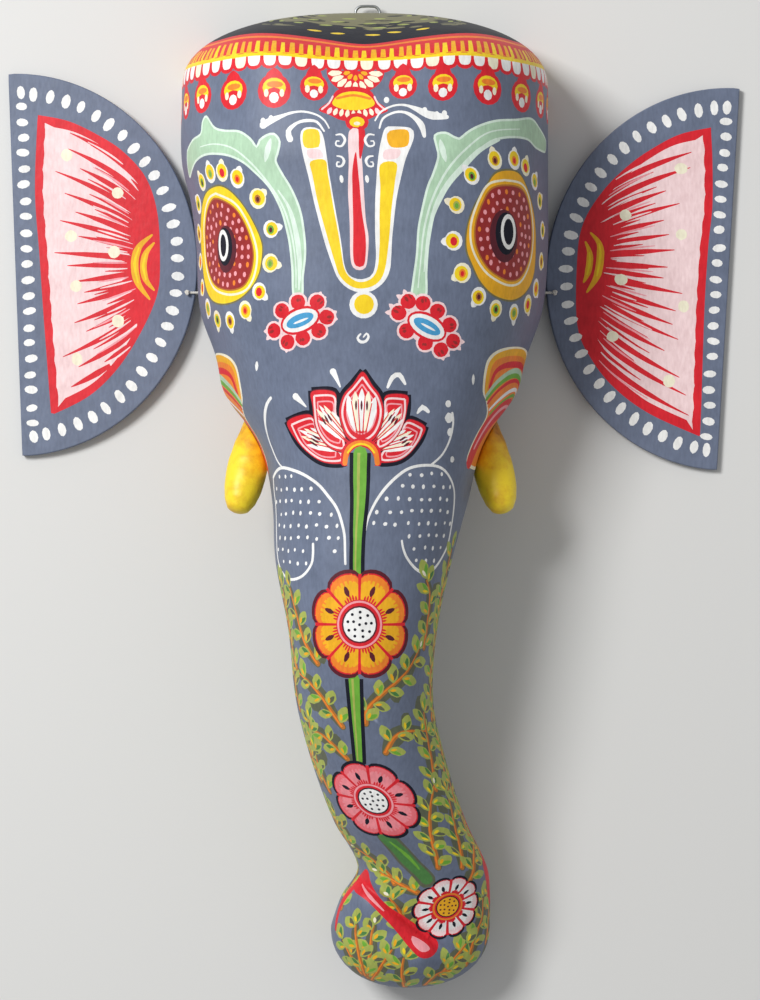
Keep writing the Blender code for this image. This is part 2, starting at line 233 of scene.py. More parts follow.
def stationAt(down):
    down = np.clip(down, stations[0, 0], stations[-1, 0])
    index = np.clip(np.searchsorted(stations[:, 0], down, side="right") - 1, 0, len(stations) - 2)
    a, b, before, after = (
        np.moveaxis(rows, -1, 0)
        for rows in (stations[index], stations[index + 1], stationSlopes[index], stationSlopes[index + 1])
    )
    span = b[0] - a[0]
    t = (down - a[0]) / span
    return (
        a * (2 * t**3 - 3 * t**2 + 1)
        + b * (3 * t**2 - 2 * t**3)
        + before * span * (t**3 - 2 * t**2 + t)
        + after * span * (t**3 - t**2)
    )[1:]


def bell(value, centre, width):
    return np.exp(-(((value - centre) / width) ** 2))


def smoothStep(low, high, value):
    share = np.clip((value - low) / (high - low), 0, 1)
    return share * share * (3 - 2 * share)


def foldPlace(x, y):
    # how far along the folded lip a point is, as a share, and how far past it, in metres
    form = headForm
    down, across = -y / form["length"], x / form["length"]
    (a0, a1), (b0, b1) = form["foldStart"], form["foldEnd"]
    run = (b0 - a0, b1 - a1)
    size = math.hypot(*run)
    along = ((across - a0) * run[0] + (down - a1) * run[1]) / size**2
    past = ((down - a1) * run[0] - (across - a0) * run[1]) / size
    return along, past * form["length"]


def facePoint(turn, down, shrink, rise, inset=0.0):
    # the face at a turn round its section, which runs from the right edge over the front
    form = headForm
    left, right, back, wide, front, square = stationAt(down)
    half = form["width"] / 2
    middle, reachAcross = (left + right) / 2 * half, (right - left) / 2 * half - inset
    back, wide, front = back * form["depth"] + inset, wide * form["depth"], front * form["depth"] - inset
    across, toward = np.cos(turn), np.sin(turn)
    reach = shrink * (np.abs(across) ** square + np.abs(toward) ** square) ** (-1 / square)
    x = middle + reachAcross * reach * across
    z = wide + np.where(toward > 0, front - wide, wide - back) * reach * toward
    y = rise - down * form["length"]
    past = z - wide
    lean = (np.sqrt(past**2 + form["crownEase"] ** 2) + past) / 2 - form["crownEase"] / 2
    y = y - form["crownSlope"] * lean * np.clip(rise / (stations[0, 0] * form["length"]), 0, 1)
    if inset > 0:
        return np.stack((x, y, z), -1)
    share = z / form["depth"]
    domes = bell(np.abs(x) / form["length"], 0.100, 0.052) * bell(-y / form["length"], 0.065, 0.070)
    domes = domes * form["domeHeight"] * smoothStep(0.2, 0.7, share)
    lips = form["lipHeight"] * bell(-y / form["length"], 0.392, 0.026) * bell(share, 0.42, 0.15)
    along, gap = foldPlace(x, y)
    grip = (1 - smoothStep(0.78, 1.05, along)) * smoothStep(-0.45, 0.0, along)
    grip = grip * smoothStep(0.15, 0.30, share)
    fold = form["foldHeight"] / (1 + np.exp(-gap / form["foldSoftness"]))
    fold = fold * np.exp(-np.maximum(gap, 0) / form["foldFade"])
    groove = form["grooveDepth"] * bell(gap, -2 * form["foldSoftness"], form["grooveWidth"])
    side = np.sign(across) * np.minimum(np.abs(across) * reach, 1)
    return np.stack((x + lips * side, y + domes * form["domeLean"], z + domes + (fold - groove) * grip), -1)


class Skin:
    # Unrolls the face: "across" is the way round a section from the front's middle line, "down" the
    # way along that line from the crown's pole, both in metres on the surface
    def __init__(self, inset, end, endHeight, endSquare):
        form, start = headForm, stations[0, 0]
        self.inset = inset
        rows = []
        for i in range(120, 0, -1):
            rows.append(self.closing(start, start * form["length"] - inset, form["crownSquareness"],
                i / 120, 1))
        rows += [(down, 1, 0) for down in np.linspace(start, end, 420)]
        for i in range(1, 121):
            rows.append(self.closing(end, endHeight, endSquare, i / 120, -1))
        self.rows = np.array(rows)
        front = facePoint(math.pi / 2, *self.rows.T, 1e-9 if inset == 0 else inset)
        self.down = np.concatenate(((0,), np.cumsum(np.linalg.norm(np.diff(front, axis=0), axis=1))))
        turns = math.pi / 2 - np.linspace(0, math.pi, 241)
        rings = facePoint(turns[None, :], *[part[:, None] for part in self.rows.T], 1e-9 if inset == 0
            else inset)
        way = np.cumsum(np.linalg.norm(np.diff(rings, axis=1), axis=2), axis=1)
        way = np.concatenate((np.zeros((len(rows), 1)), way), 1)
        self.half = way[:, -1]
        self.shares = np.linspace(0, 1, 121)
        swing = np.linspace(0, math.pi, 241)
        self.swing = np.array(
            [
                np.interp(self.shares, w / w[-1], swing) if w[-1] > 1e-6 else self.shares * math.pi
                for w in way
            ]
        )
        heights = np.array([np.interp(self.swing[i], swing, rings[i, :, 2]) for i in range(len(rows))])
        below = heights < 0
        below[self.rows[:, 0] > 0.6] = False  # the curl only touches the ground
        first = np.argmax(below, axis=1)
        edge = np.ones(len(rows))
        for i in np.flatnonzero(below.any(1)):
            k = first[i]
            a, b = heights[i, k - 1], heights[i, k]
            edge[i] = self.shares[k - 1] + (self.shares[k] - self.shares[k - 1]) * a / (a - b)
        self.edge = edge

    def closing(self, down, height, square, share, sign):
        angle = math.pi / 2 * share
        c, s = max(math.cos(angle), 0), math.sin(angle)
        reach = (c**square + s**square) ** (-1 / square)
        return down, reach * c, sign * height * reach * s

    def point(self, across, down):
        row = np.interp(down, self.down, np.arange(len(self.down)))
        half = np.maximum(np.interp(down, self.down, self.half), 1e-7)
        share = np.clip(np.abs(across) / half, 0, 1) * (len(self.shares) - 1)
        i = np.minimum(row.astype(int), len(self.down) - 2)
        j = np.minimum(share.astype(int), len(self.shares) - 2)
        fi, fj = row - i, share - j
        swing = (self.swing[i, j] * (1 - fj) + self.swing[i, j + 1] * fj) * (1 - fi)
        swing = swing + (self.swing[i + 1, j] * (1 - fj) + self.swing[i + 1, j + 1] * fj) * fi
        turn = math.pi / 2 - np.where(across < 0, -1, 1) * swing
        params = [np.interp(row, np.arange(len(self.down)), column) for column in self.rows.T]
        return facePoint(turn, *params, self.inset)

    def rim(self, step):
        # the right edge of the unrolled skin from the crown's pole to the other end
        edge = self.half * self.edge
        way = np.concatenate(((0,), np.cumsum(np.hypot(np.diff(edge), np.diff(self.down)))))
        spots = np.linspace(0, way[-1], int(way[-1] / step))
        return np.interp(spots, way, edge), np.interp(spots, way, self.down)


outer = Skin(0, stations[-1, 0], (1 - stations[-1, 0]) * headForm["length"], headForm["curlSquareness"])
print("Unrolled face:", round(outer.down[-1] / mm, 1), "mm long,", round(outer.half.max() / mm, 1),
    "mm to the back")


def makeFaceTree():
    shares = np.linspace(-1, 1, 181)
    downs = np.linspace(0.0005, outer.down[-1] - 0.0005, 320)
    half = np.interp(downs, outer.down, outer.half)
    across = (half[:, None] * shares[None, :]).ravel()
    down = np.repeat(downs, len(shares))
    points = outer.point(across, down)
    n = len(shares)
    a = (np.arange(len(downs) - 1)[:, None] * n + np.arange(n - 1)[None, :]).ravel()
    triangles = np.concatenate((np.stack((a, a + 1, a + n), 1), np.stack((a + 1, a + n + 1, a + n), 1)))
    tree = BVHTree.FromPolygons(points.tolist(), triangles.tolist())
    return tree, points, triangles, np.stack((across, down), 1)


faceTree, facePoints, faceTriangles, faceChart = makeFaceTree()


def chartAt(origin, direction):
    hit, normal, index, far = faceTree.ray_cast(origin, direction)
    if hit is None:
        return None
    a, b, c = faceTriangles[index]
    edgeB, edgeC, off = facePoints[b] - facePoints[a], facePoints[c] - facePoints[a], np.array(
        hit) - facePoints[a]
    bb, bc, cc, ob, oc = edgeB @ edgeB, edgeB @ edgeC, edgeC @ edgeC, off @ edgeB, off @ edgeC
    size = bb * cc - bc * bc
    v, w = (cc * ob - bc * oc) / size, (bb * oc - bc * ob) / size
    return tuple(faceChart[a] * (1 - v - w) + faceChart[b] * v + faceChart[c] * w)


def onFace(*pixels):
    # pixels of the photo to the unrolled face, in millimetres
    found = []
    for px, py in pixels:
        for k in range(40):
            spot = chartAt(eye, photoRay(px, py))
            if spot:
                break
            px, py = px + (1 if px < 365 + max(py - 700, 0) * 0.2 else -1), py + (1 if py < 30 else -1
                if py > 960 else 0)
        found.append((spot[0] / mm, spot[1] / mm))
    return found


# Painting: closed outlines in millimetres, each laid over the ones before it


class Picture:
    def __init__(self):
        self.outlines = []

    def lay(self, paint, points, step=2.4):
        fine = []
        for (ax, ay), (bx, by) in zip(points, points[1:] + points[:1]):
            parts = max(int(math.hypot(bx - ax, by - ay) / step), 1)
            fine += [(ax + (bx - ax) * k / parts, ay + (by - ay) * k / parts) for k in range(parts)]
        fine = [p for p, q in zip(fine, fine[1:] + fine[:1]) if math.hypot(p[0] - q[0], p[1] - q[1]) > 0.05]
        if len(fine) > 2:
            self.outlines.append((paintNumber[paint], fine))

    def closed(self, paint, points, step=1.3):
        self.lay(paint, smooth(points, step, True))

    def blob(self, paint, centre, across, down=None, lean=0, count=12, wobble=0.0):
        down = down or across
        c, s = math.cos(math.radians(lean)), math.sin(math.radians(lean))
        ring = []
        for k in range(count):
            angle = 2 * math.pi * k / count
            x = across * math.cos(angle) * (1 + uniform(-wobble, wobble))
            y = down * math.sin(angle) * (1 + uniform(-wobble, wobble))
            ring.append((centre[0] + x * c - y * s, centre[1] + x * s + y * c))
        self.lay(paint, ring)

    def stroke(self, paint, points, widths, step=1.3, ends=True):
        # a brush line along a smooth path, its width a number or a list spread along it
        path = smooth(points, step, False)
        if not isinstance(widths, (list, tuple)):
            widths = (widths, widths)
        sizes = np.interp(np.linspace(0, 1, len(path)), np.linspace(0, 1, len(widths)), widths) / 2
        sides = []
        for k, (x, y) in enumerate(path):
            (ax, ay), (bx, by) = path[max(k - 1, 0)], path[min(k + 1, len(path) - 1)]
            size = math.hypot(bx - ax, by - ay) or 1
            nx, ny = -(by - ay) / size * sizes[k], (bx - ax) / size * sizes[k]
            sides.append(((x + nx, y + ny), (x - nx, y - ny)))
        caps = []
        for spot, size, (left, right) in ((path[0], sizes[0], sides[0]),
            (path[-1], sizes[-1], sides[-1][::-1])):
            start = math.atan2(right[1] - spot[1], right[0] - spot[0])
            turns = [start - math.pi * k / 4 for k in (1, 2, 3)] if ends and size > 0.25 else []
            caps.append([(spot[0] + size * math.cos(t), spot[1] + size * math.sin(t)) for t in turns])
        self.lay(paint, [a for a, b in sides] + caps[1] + [b for a, b in sides[::-1]] + caps[0])

    def leaf(self, paint, root, tip, width, belly=0.55):
        dx, dy = tip[0] - root[0], tip[1] - root[1]
        size = math.hypot(dx, dy) or 1
        nx, ny = -dy / size * width / 2, dx / size * width / 2
        shares = ((0.0, 0.12), (0.2, 0.72), (belly, 1.0), (0.82, 0.66), (0.94, 0.3))
        left = [(root[0] + dx * t + nx * w, root[1] + dy * t + ny * w) for t, w in shares]
        right = [(root[0] + dx * t - nx * w, root[1] + dy * t - ny * w) for t, w in shares]
        self.lay(paint, left + [tip] + right[::-1])

    def mesh(self, border, holes, extra):
        # triangles of the painted board: its points, their corners and each one's paint
        points, edges = [], []
        for outline in [border] + [outline for paint, outline in self.outlines] + holes:
            start, count = len(points), len(outline)
            edges += [(start + k, start + (k + 1) % count) for k in range(count)]
            points += outline
        found = delaunay_2d_cdt([Vector(p) for p in points + extra], edges, [], 0, 1e-4)
        spots, triangles = np.array(found[0]), np.array(found[2])
        middles = spots[triangles].mean(axis=1)
        order = np.argsort(middles[:, 1])
        triangles, middles = triangles[order], middles[order]
        worn = np.full(len(triangles), -1)
        for paint, outline in [(0, border)] + self.outlines + [(-1, hole) for hole in holes]:
            corners = np.array(outline)
            low, high = corners.min(axis=0), corners.max(axis=0)
            near = np.arange(*np.searchsorted(middles[:, 1], (low[1], high[1])))
            near = near[(middles[near, 0] > low[0]) & (middles[near, 0] < high[0])]
            near = near if outline is border else near[worn[near] >= 0]
            worn[near[windings(middles[near], corners) != 0]] = paint
        keep = worn >= 0
        return spots, triangles[keep].tolist(), worn[keep]


def windings(spots, corners):
    # how many times an outline runs round each spot
    total = np.zeros(len(spots), dtype=int)
    ends = np.roll(corners, -1, axis=0)
    for k in range(0, len(spots), 4000):
        x, y = spots[k : k + 4000, 0, None], spots[k : k + 4000, 1, None]
        (ax, ay), (bx, by) = corners.T, ends.T
        side = (bx - ax) * (y - ay) - (by - ay) * (x - ax)
        rises, falls = (ay <= y) & (by > y) & (side > 0), (ay > y) & (by <= y) & (side < 0)
        total[k : k + 4000] = rises.sum(axis=1) - falls.sum(axis=1)
    return total


def smooth(points, step, closed):
    # a curve through the points, cut into even steps
    count = len(points)
    if count < 3:
        return list(points)
    spots = []
    for k in range(count if closed else count - 1):
        if closed:
            a, b, c, d = (points[(k + i) % count] for i in (-1, 0, 1, 2))
        else:
            a, b, c, d = (points[min(max(k + i, 0), count - 1)] for i in (-1, 0, 1, 2))
        parts = max(int(round(math.hypot(c[0] - b[0], c[1] - b[1]) / step)), 1)
        for i in range(parts):
            t = i / parts
            spots.append(
                tuple(
                    0.5 * (2 * b[j] + (c[j] - a[j]) * t + (2 * a[j] - 5 * b[j] + 4 * c[j] - d[j]) * t**2
                    + (3 * b[j] - a[j] - 3 * c[j] + d[j]) * t**3)
                    for j in (0, 1)
                )
            )
    if not closed:
        spots.append(tuple(points[-1]))
    return spots


# The paints

paintColours = {
    "slate": "#6b758b",
    "night": "#1e202c",
    "maroon": "#5a1626",
    "red": "#dd1f2d",
    "orange": "#f3862a",
    "yellow": "#ffd61f",
    "amber": "#f2b21e",
    "cream": "#fbf1d6",
    "white": "#f4f4f2",
    "mint": "#b2d3b4",
    "frost": "#dcefe0",
    "olive": "#77744f",
    "moss": "#5f644f",
    "fern": "#4c8244",
    "coral": "#ee747d",
    "pink": "#f6a3ab",
    "rose": "#f28e97",
    "blush": "#fbd9da",
    "stem": "#6fae3a",
    "leaf": "#a9b457",
    "ochre": "#b9722c",
    "blue": "#4a9fd0",
    "brick": "#9c2a2a",
}
paintNames = list(paintColours)
paintNumber = {name: k for k, name in enumerate(paintNames)}

face = Picture()


def at(spot, across, down):
    return spot[0] + across, spot[1] + down


def around(spot, grow, *offsets):
    return [at(spot, x * grow, y * grow) for x, y in offsets]


def between(a, b, share):
    return a[0] + (b[0] - a[0]) * share, a[1] + (b[1] - a[1]) * share


def shifted(spot, way, *factors):
    # a spot moved along a way, which is multiplied by each factor in turn
    across, down = way
    for factor in factors:
        across, down = across * factor, down * factor
    return at(spot, across, down)


def grown(points, middle, wide, tall=None):
    # an outline made larger or smaller about its middle
    tall = tall or wide
    return [(middle[0] + (x - middle[0]) * wide, middle[1] + (y - middle[1]) * tall) for x, y in points]


def centreOf(points):
    return sum(x for x, y in points) / len(points), sum(y for x, y in points) / len(points)


def halfAt(down):
    # how far the unrolled face reaches from its middle line there, in millimetres
    return float(np.interp(down * mm, outer.down, outer.half)) / mm


def areas(step, *shapes):
    # each shape: its paint, then the pixels round it
    for paint, *pixels in shapes:
        face.closed(paint, onFace(*pixels), step)


def lines(paint, *strokes):
    # each stroke: its widths along the way, then its pixels
    for widths, *pixels in strokes:
        face.stroke(paint, onFace(*pixels), widths)


def paintCrown():
    crest = {"middle": 68.0, "dip": 5.4, "spread": 14.0, "shoulder": 66.0, "fall": 6.0}
    bottom = 81.0
    beyond, pole, gridStep = 160, -5, 2.5
    stripeGap, scallopGap, scallopShift = 3.6, 6.5, 1.2

    def crestAt(s):
        peak = crest["middle"] - crest["dip"] * (1 - math.exp(-((s / crest["spread"]) ** 2)))
        return peak + crest["fall"] * (1 / (1 + math.exp(-(abs(s) - crest["shoulder"]) / 7)))

    steps = [-150 + gridStep * k for k in range(121)]

    def band(paint, top, low):
        upper = [(s, crestAt(s) + top * (bottom - crestAt(s))) for s in steps]
        lower = [(s, crestAt(s) + low * (bottom - crestAt(s))) for s in steps]
        face.lay(paint, upper + lower[::-1])

    cap = [(s, crestAt(s)) for s in steps]
    face.lay("night", cap + [(beyond, 60), (beyond, pole), (-beyond, pole), (-beyond, 60)])
    back = [(s, 44 + crestAt(s) - crest["middle"] + 1.6 * math.sin(s * 0.31)) for s in steps]
    face.lay("olive", back + [(beyond, 40), (beyond, pole), (-beyond, pole), (-beyond, 40)])
    for k in range(70):
        s, down = uniform(-75, 75), uniform(20, 49)
        paint = "night" if down < 44 else "olive"
        face.blob(paint, (s, down), uniform(2.5, 6), uniform(0.8, 1.8), uniform(-12, 12), 9, 0.2)
    # rows of leaves: how far down, the gap between them and how far across they go
    leafRows = ((57, 11.5, 26), (45, 11.5, 80), (37, 12, 70), (27, 13, 60))
    for row, (down, gap, limit) in enumerate(leafRows):
        for k in range(-7, 8):
            s = k * gap + (gap / 2 if row % 2 else 2) + uniform(-1.5, 1.5)
            half = float(np.interp(down * mm, outer.down, outer.half * outer.edge)) / mm
            if abs(s) < min(half - 5, limit):
                rise = down + crestAt(s) - crest["middle"] + uniform(-1, 1)
                long = uniform(2.4, 3.2)
                turn = uniform(-0.8, 0.5)
                face.leaf("yellow" if row == 0 else "leaf", (s - long, rise - turn),
                    (s + long, rise + turn), 2.6)
    for paint, top, low in (("red", 0, 0.17), ("orange", 0.17, 0.28), ("red", 0.28, 1.0),
        ("yellow", 0.90, 1.02)):
        band(paint, top, low)
    for k in range(-42, 43):
        s = k * stripeGap + uniform(-0.3, 0.3)
        top = crestAt(s) + uniform(0.44, 0.52) * (bottom - crestAt(s))
        wide = uniform(1.0, 1.3)
        face.lay("amber" if k % 3 else "yellow", [(s - wide * 0.7, top), (s + wide * 0.7, top),
            (s + wide, bottom), (s - wide, bottom)])
    for k in range(-22, 23):
        s = k * scallopGap + scallopShift
        face.blob("red", (s, bottom + 1.9), 4.0, 3.5, count=14)
    face.lay("yellow", [(s, bottom - 1.2) for s in steps] + [(s, bottom + 0.3) for s in steps[::-1]])
    for k in range(-22, 23):
        s = k * scallopGap + scallopShift + uniform(-0.2, 0.2)
        wide, deep = uniform(2.45, 2.75), uniform(3.6, 4.1)
        ring = []
        for a in np.linspace(0, math.pi, 11):
            across = math.copysign(abs(math.cos(a)) ** 0.6, math.cos(a))
            ring.append((s + wide * across, bottom + 0.2 + deep * math.sin(a) ** 0.75))
        face.lay("cream" if k % 4 == 0 else "white", ring)
    # pendants below the band: those seen in the photo, and four more round either side
    pendants = ((202, 97), (233, 93), (274, 90.5), (314, 87), (403, 85.5), (443, 85.5), (488, 88),
        (522, 96))
    pendantGap, pendantDown = 18, 94
    spots = [(-146 + pendantGap * k, pendantDown) for k in range(4)] + onFace(*pendants)
    spots += [(88 + pendantGap * k, pendantDown) for k in range(4)]
    for spot in spots:
        grow = uniform(1.0, 1.1) * (0.8 if abs(spot[0]) < 30 else 0.9 if 0 < spot[0] < 50 else 1.0)
        face.leaf("red", at(spot, 0, 3), at(spot, 0, -9), 8.4 * grow)
        face.blob("red", spot, 6.4 * grow, 6.3 * grow, count=16)
        face.blob("yellow", at(spot, 0, -1.2), 4.5 * grow, 3.5 * grow, count=14)
        face.blob("orange", at(spot, 0.3, -2.4), 3.2 * grow, 1.2 * grow, count=10)
        face.blob("red", at(spot, 0, 2.0), 3.5 * grow, 3.0 * grow, count=12)
        face.blob("cream", at(spot, -3.0 * grow, 0.9), 1.0, 1.6, count=8)
        face.blob("cream", at(spot, 3.0 * grow, 0.9), 1.0, 1.6, count=8)
        face.blob("white", at(spot, 0, 2.7), 1.9 * grow, 2.0 * grow, count=9)


def paintMiddlePendant():
    top = onFace((355.5, 71))[0]
    ring = [at(top, 11.4 * math.cos(a), 9.2 * math.sin(a)) for a in np.linspace(0, math.pi, 21)]
    face.lay("red", ring)
    rays = (("cream", 9, (5.4, 4.4), (11.0, 8.6), 2.4), ("amber", 5, (2.2, 1.6), (5.0, 4.2), 1.7))
    for paint, count, near, far, width in rays:
        for k in range(count):
            a = math.pi * (k + 0.5) / count
            root, tip = (at(top, wide * math.cos(a), tall * math.sin(a)) for wide, tall in (near, far))
            face.leaf(paint, root, tip, width, 0.7)
    low = onFace((353.5, 104))[0]
    face.closed("red", around(low, 1, (0, -7.2), (-6.4, -5.6), (-9.4, -1), (-13.6, 2.6), (-9.4, 4.6),
        (-5, 6.6), (0, 7.2), (5, 6.6), (9.4, 4.6), (13.6, 2.6), (9.4, -1), (6.4, -5.6)))
    face.closed("yellow", around(low, 1, (0, -5.2), (-5.4, -4), (-8.4, -0.2), (-5.4, 1.8), (0, 2.6),
        (5.4, 1.8), (8.4, -0.2), (5.4, -4)))
    face.stroke("orange", around(low, 1, (-6.5, -2.2), (0, -3.6), (6.5, -2.2)), 1.0)
    for k in range(-4, 5):
        face.leaf("blush" if abs(k) == 4 else "cream", at(low, k * 2.15, 2.6 - abs(k) * 0.25),
            at(low, k * 2.55, 6.0 - abs(k) * 0.42), 1.8, 0.6)
    for side in (-1, 1):
        face.stroke("blush", around(low, 1, *[(side * x, y) for x, y in ((12.4, 2.4), (9.6, -0.2),
            (8.2, -3.0))]), 0.7)
    drop = onFace((357, 122))[0]
    face.blob("red", drop, 4.6, 3.8)
    face.leaf("red", at(drop, -1, 0), at(drop, 2.2, 8), 5)
    face.blob("yellow", drop, 3.0, 2.2)
    face.blob("cream", at(drop, 0, 0.6), 1.3, 0.8, count=8)


def paintTilak():
    whiteFrame = ((300.3, 135.2), (301.7, 148.4), (307.6, 173.4), (314.9, 205.7), (323.8, 239.4),
        (332.6, 265.8), (338.4, 279), (347.2, 287.8), (359, 292.3), (372.2, 290.8), (383.9, 282),
        (389.8, 270.2), (391.3, 255.6), (392.7, 232.1), (397.1, 195.4), (404.5, 163.1), (411.8, 144),
        (414, 134.5), (410.3, 127.9), (392.7, 126.4), (385.4, 127.9), (381.7, 138.2), (378.1, 158.7),
        (376.6, 176.3), (375.1, 202.7), (375.1, 232.1), (375.9, 258.5), (372.9, 273.2), (366.3, 278.3),
        (357.5, 279), (348.7, 274.6), (344.3, 264.4), (341.4, 243.8), (335.5, 210.1), (329.6, 176.3),
        (326.7, 155.8), (323.8, 138.2), (319.4, 129.4), (310.5, 127.1), (303.2, 128.6))
    face.closed("white", onFace(*whiteFrame), 1.5)
    face.blob("white", onFace((363.6, 304.7))[0], 5.6, 5.4, count=18)
    face.blob("yellow", onFace((364, 304.2))[0], 3.9, 3.9, count=16)
    yellowBand = ((310.5, 161.6), (325.2, 160.2), (328.2, 176.3), (334, 210.1), (340.6, 246.8),
        (343.6, 265.8), (348.7, 276.1), (359, 282), (370.7, 279), (377.3, 268.8), (379.5, 246.8),
        (379.5, 217.4), (380.3, 188.1), (380.3, 164.6), (396.4, 163.1), (394.9, 182.2), (391.3, 211.5),
        (388.3, 246.8), (385.4, 267.3), (381, 279), (372.2, 286.4), (359, 288.6), (348.7, 284.9),
        (339.9, 276.1), (335.5, 264.4), (326.7, 235), (317.9, 202.7), (312, 173.4))
    face.closed("yellow", onFace(*yellowBand), 1.5)
    insets = (
        ("yellow", (303.9, 130.8), (317.9, 130.1), (320.1, 142.6), (318.6, 147), (304.7, 147)),
        ("amber", (389.8, 130.8), (407.4, 130.1), (408.9, 142.6), (404.5, 147), (391.3, 147),
            (386.9, 138.2)),
        ("blush", (307, 150), (320, 149.6), (323, 157.4), (309.6, 158)),
        ("blush", (385, 150), (400, 149.6), (397.6, 158), (384, 159)),
        ("blush", (349.4, 130.8), (360.4, 131.6), (361.9, 158.7), (363.4, 182.2), (365.6, 217.4),
            (368.5, 236.5), (367.8, 255.6), (365.6, 267.3), (359.7, 270.2), (353.1, 267.3), (350.2, 254.1),
            (349.4, 217.4), (348, 188.1), (348.7, 158.7)),
        ("red", (356, 152), (359, 179.2), (361.9, 211.5), (365.6, 236.5), (365.6, 255.6), (363.4, 265.8),
            (356, 265.8), (353.1, 254.1), (353.1, 217.4), (352.4, 188.1), (352.4, 170.4)),
    )
    areas(1.3, *insets)
    face.stroke("red", onFace((360.5, 128), (361.5, 141), (360.2, 158)), (1.8, 2.2, 0.6))
    for side in (-1, 1):
        for y, size in ((141, 1.0), (162, 0.8)):
            x = 340.5 if side < 0 else 369.5
            path = [(-5 * size, -6), (1, -6.5 * size), (4.5 * size, -1), (1, 5 * size), (-4.5 * size, 4),
                (-4 * size, 0), (-1, 0)]
            face.stroke("white", onFace(*[(x - side * a, y + b) for a, b in path]), (0.5, 1.1, 0.8, 0.5),
                0.8)
        face.blob("white", onFace((341.5 if side < 0 else 367, 179))[0], 0.8, 1.6, count=8)
    scrolls = (
        ((2.6, 1.8, 1.1, 1.3, 1.0, 0.7), (290, 139), (288.4, 131), (297, 123), (307, 120.5), (317, 122),
            (324, 131)),
        ((3.0, 2.4, 1.2, 0.8, 0.8, 0.7, 0.6), (263, 125), (270, 121), (282, 116), (292, 112.6),
            (304, 111.6), (317, 115), (325, 121), (329, 128)),
        ((0.7, 0.9, 0.9, 1.0, 1.6, 2.6, 1.4), (379.5, 128), (382.5, 119), (390, 114), (398.6, 111.7),
            (407.4, 113.2), (416.2, 119), (422, 126.4), (424.3, 136)),
        ((0.6, 0.8, 0.8, 1.0, 2.4, 3.2, 1.6), (375.1, 120.5), (381, 111.7), (392.7, 105.9), (404.5, 105),
            (416, 108.8), (430, 115), (447, 117)),
    )
    lines("white", *scrolls)
    for x, y in ((263, 121), (271, 118.5), (424.6, 110.3), (436.7, 114.5), (444.4, 113.5), (386.5, 100)):
        face.blob("white", onFace((x, y))[0], 1.1, 1.3, count=9)


def paintMintBands():
    left = onFace((187.2, 151.4), (192.7, 140.3), (200.7, 133.9), (202.3, 122.7), (206.3, 116.4),
        (214.3, 127.5), (224.6, 130.7), (239, 131.5), (250.1, 138.7), (256.5, 146.7), (259.7, 140.3),
        (266.1, 135.5), (274, 133.9), (279.6, 141.9), (277.2, 154.6), (275.6, 161), (282, 173.7),
        (291.6, 189.7), (299.5, 208.8), (303.5, 229.5), (305.1, 253.4), (302.7, 277.3), (301.9, 296),
        (293.9, 296), (292.4, 269.4), (290, 245.5), (286.8, 229.5), (282, 212), (274, 194.5),
        (266.1, 183.3), (254.9, 172.2), (243.7, 162.6), (231, 156.2), (218.2, 153.8), (205.5, 154.6),
        (195.9, 161), (189.6, 176.9))
    right = onFace((546, 141.3), (540, 129.3), (531.4, 118.9), (515.9, 119.8), (497, 120.7), (481.5, 125),
        (469.4, 131), (459.1, 138.8), (453.9, 137), (445.3, 132.7), (434.9, 135.3), (436.7, 146.5),
        (438.4, 156.8), (433.2, 174.1), (428.1, 186.1), (422.9, 206.8), (418.6, 229.2), (416.9, 255),
        (413.4, 280.8), (412.6, 297), (425.5, 297), (426.3, 272.2), (428.1, 246.4), (432.4, 220.6),
        (438.4, 201.6), (448.7, 182.7), (460.8, 168.9), (471.1, 156.8), (483.2, 146.5), (495.2, 139.6),
        (512.5, 137), (528, 139.6), (536.6, 148.2), (545.2, 151.7))
    for band in (left, right):
        face.closed("mint", band)
        face.stroke("frost", band + band[:1], 0.9, 1.5, False)
    highlights = (
        ((0.4, 0.8, 0.9, 0.7, 0.4), (296, 288), (295.5, 262), (291, 232), (282, 205), (268, 183),
            (250, 162), (232, 148), (214, 144), (200, 147)),
        ((0.5, 1.9, 2.2, 1.6, 0.4), (299, 290), (299.5, 262), (296, 233), (289, 208), (278, 190)),
        ((0.4, 0.8, 0.9, 0.7, 0.4), (418, 288), (421, 258), (424, 230), (432, 200), (446, 172), (466, 149),
            (490, 132), (520, 129)),
        ((0.4, 1.0, 1.5, 2.2, 2.2, 2.2, 1.8, 0.5), (424, 272), (427, 244), (431.5, 220), (438, 202),
            (448, 184), (461, 169), (480, 150), (500, 140)),
    )
    lines("frost", *highlights)
    face.leaf("frost", onFace((265, 162))[0], onFace((271, 138))[0], 2.6)
    face.leaf("frost", onFace((446, 162))[0], onFace((440, 139))[0], 2.6)


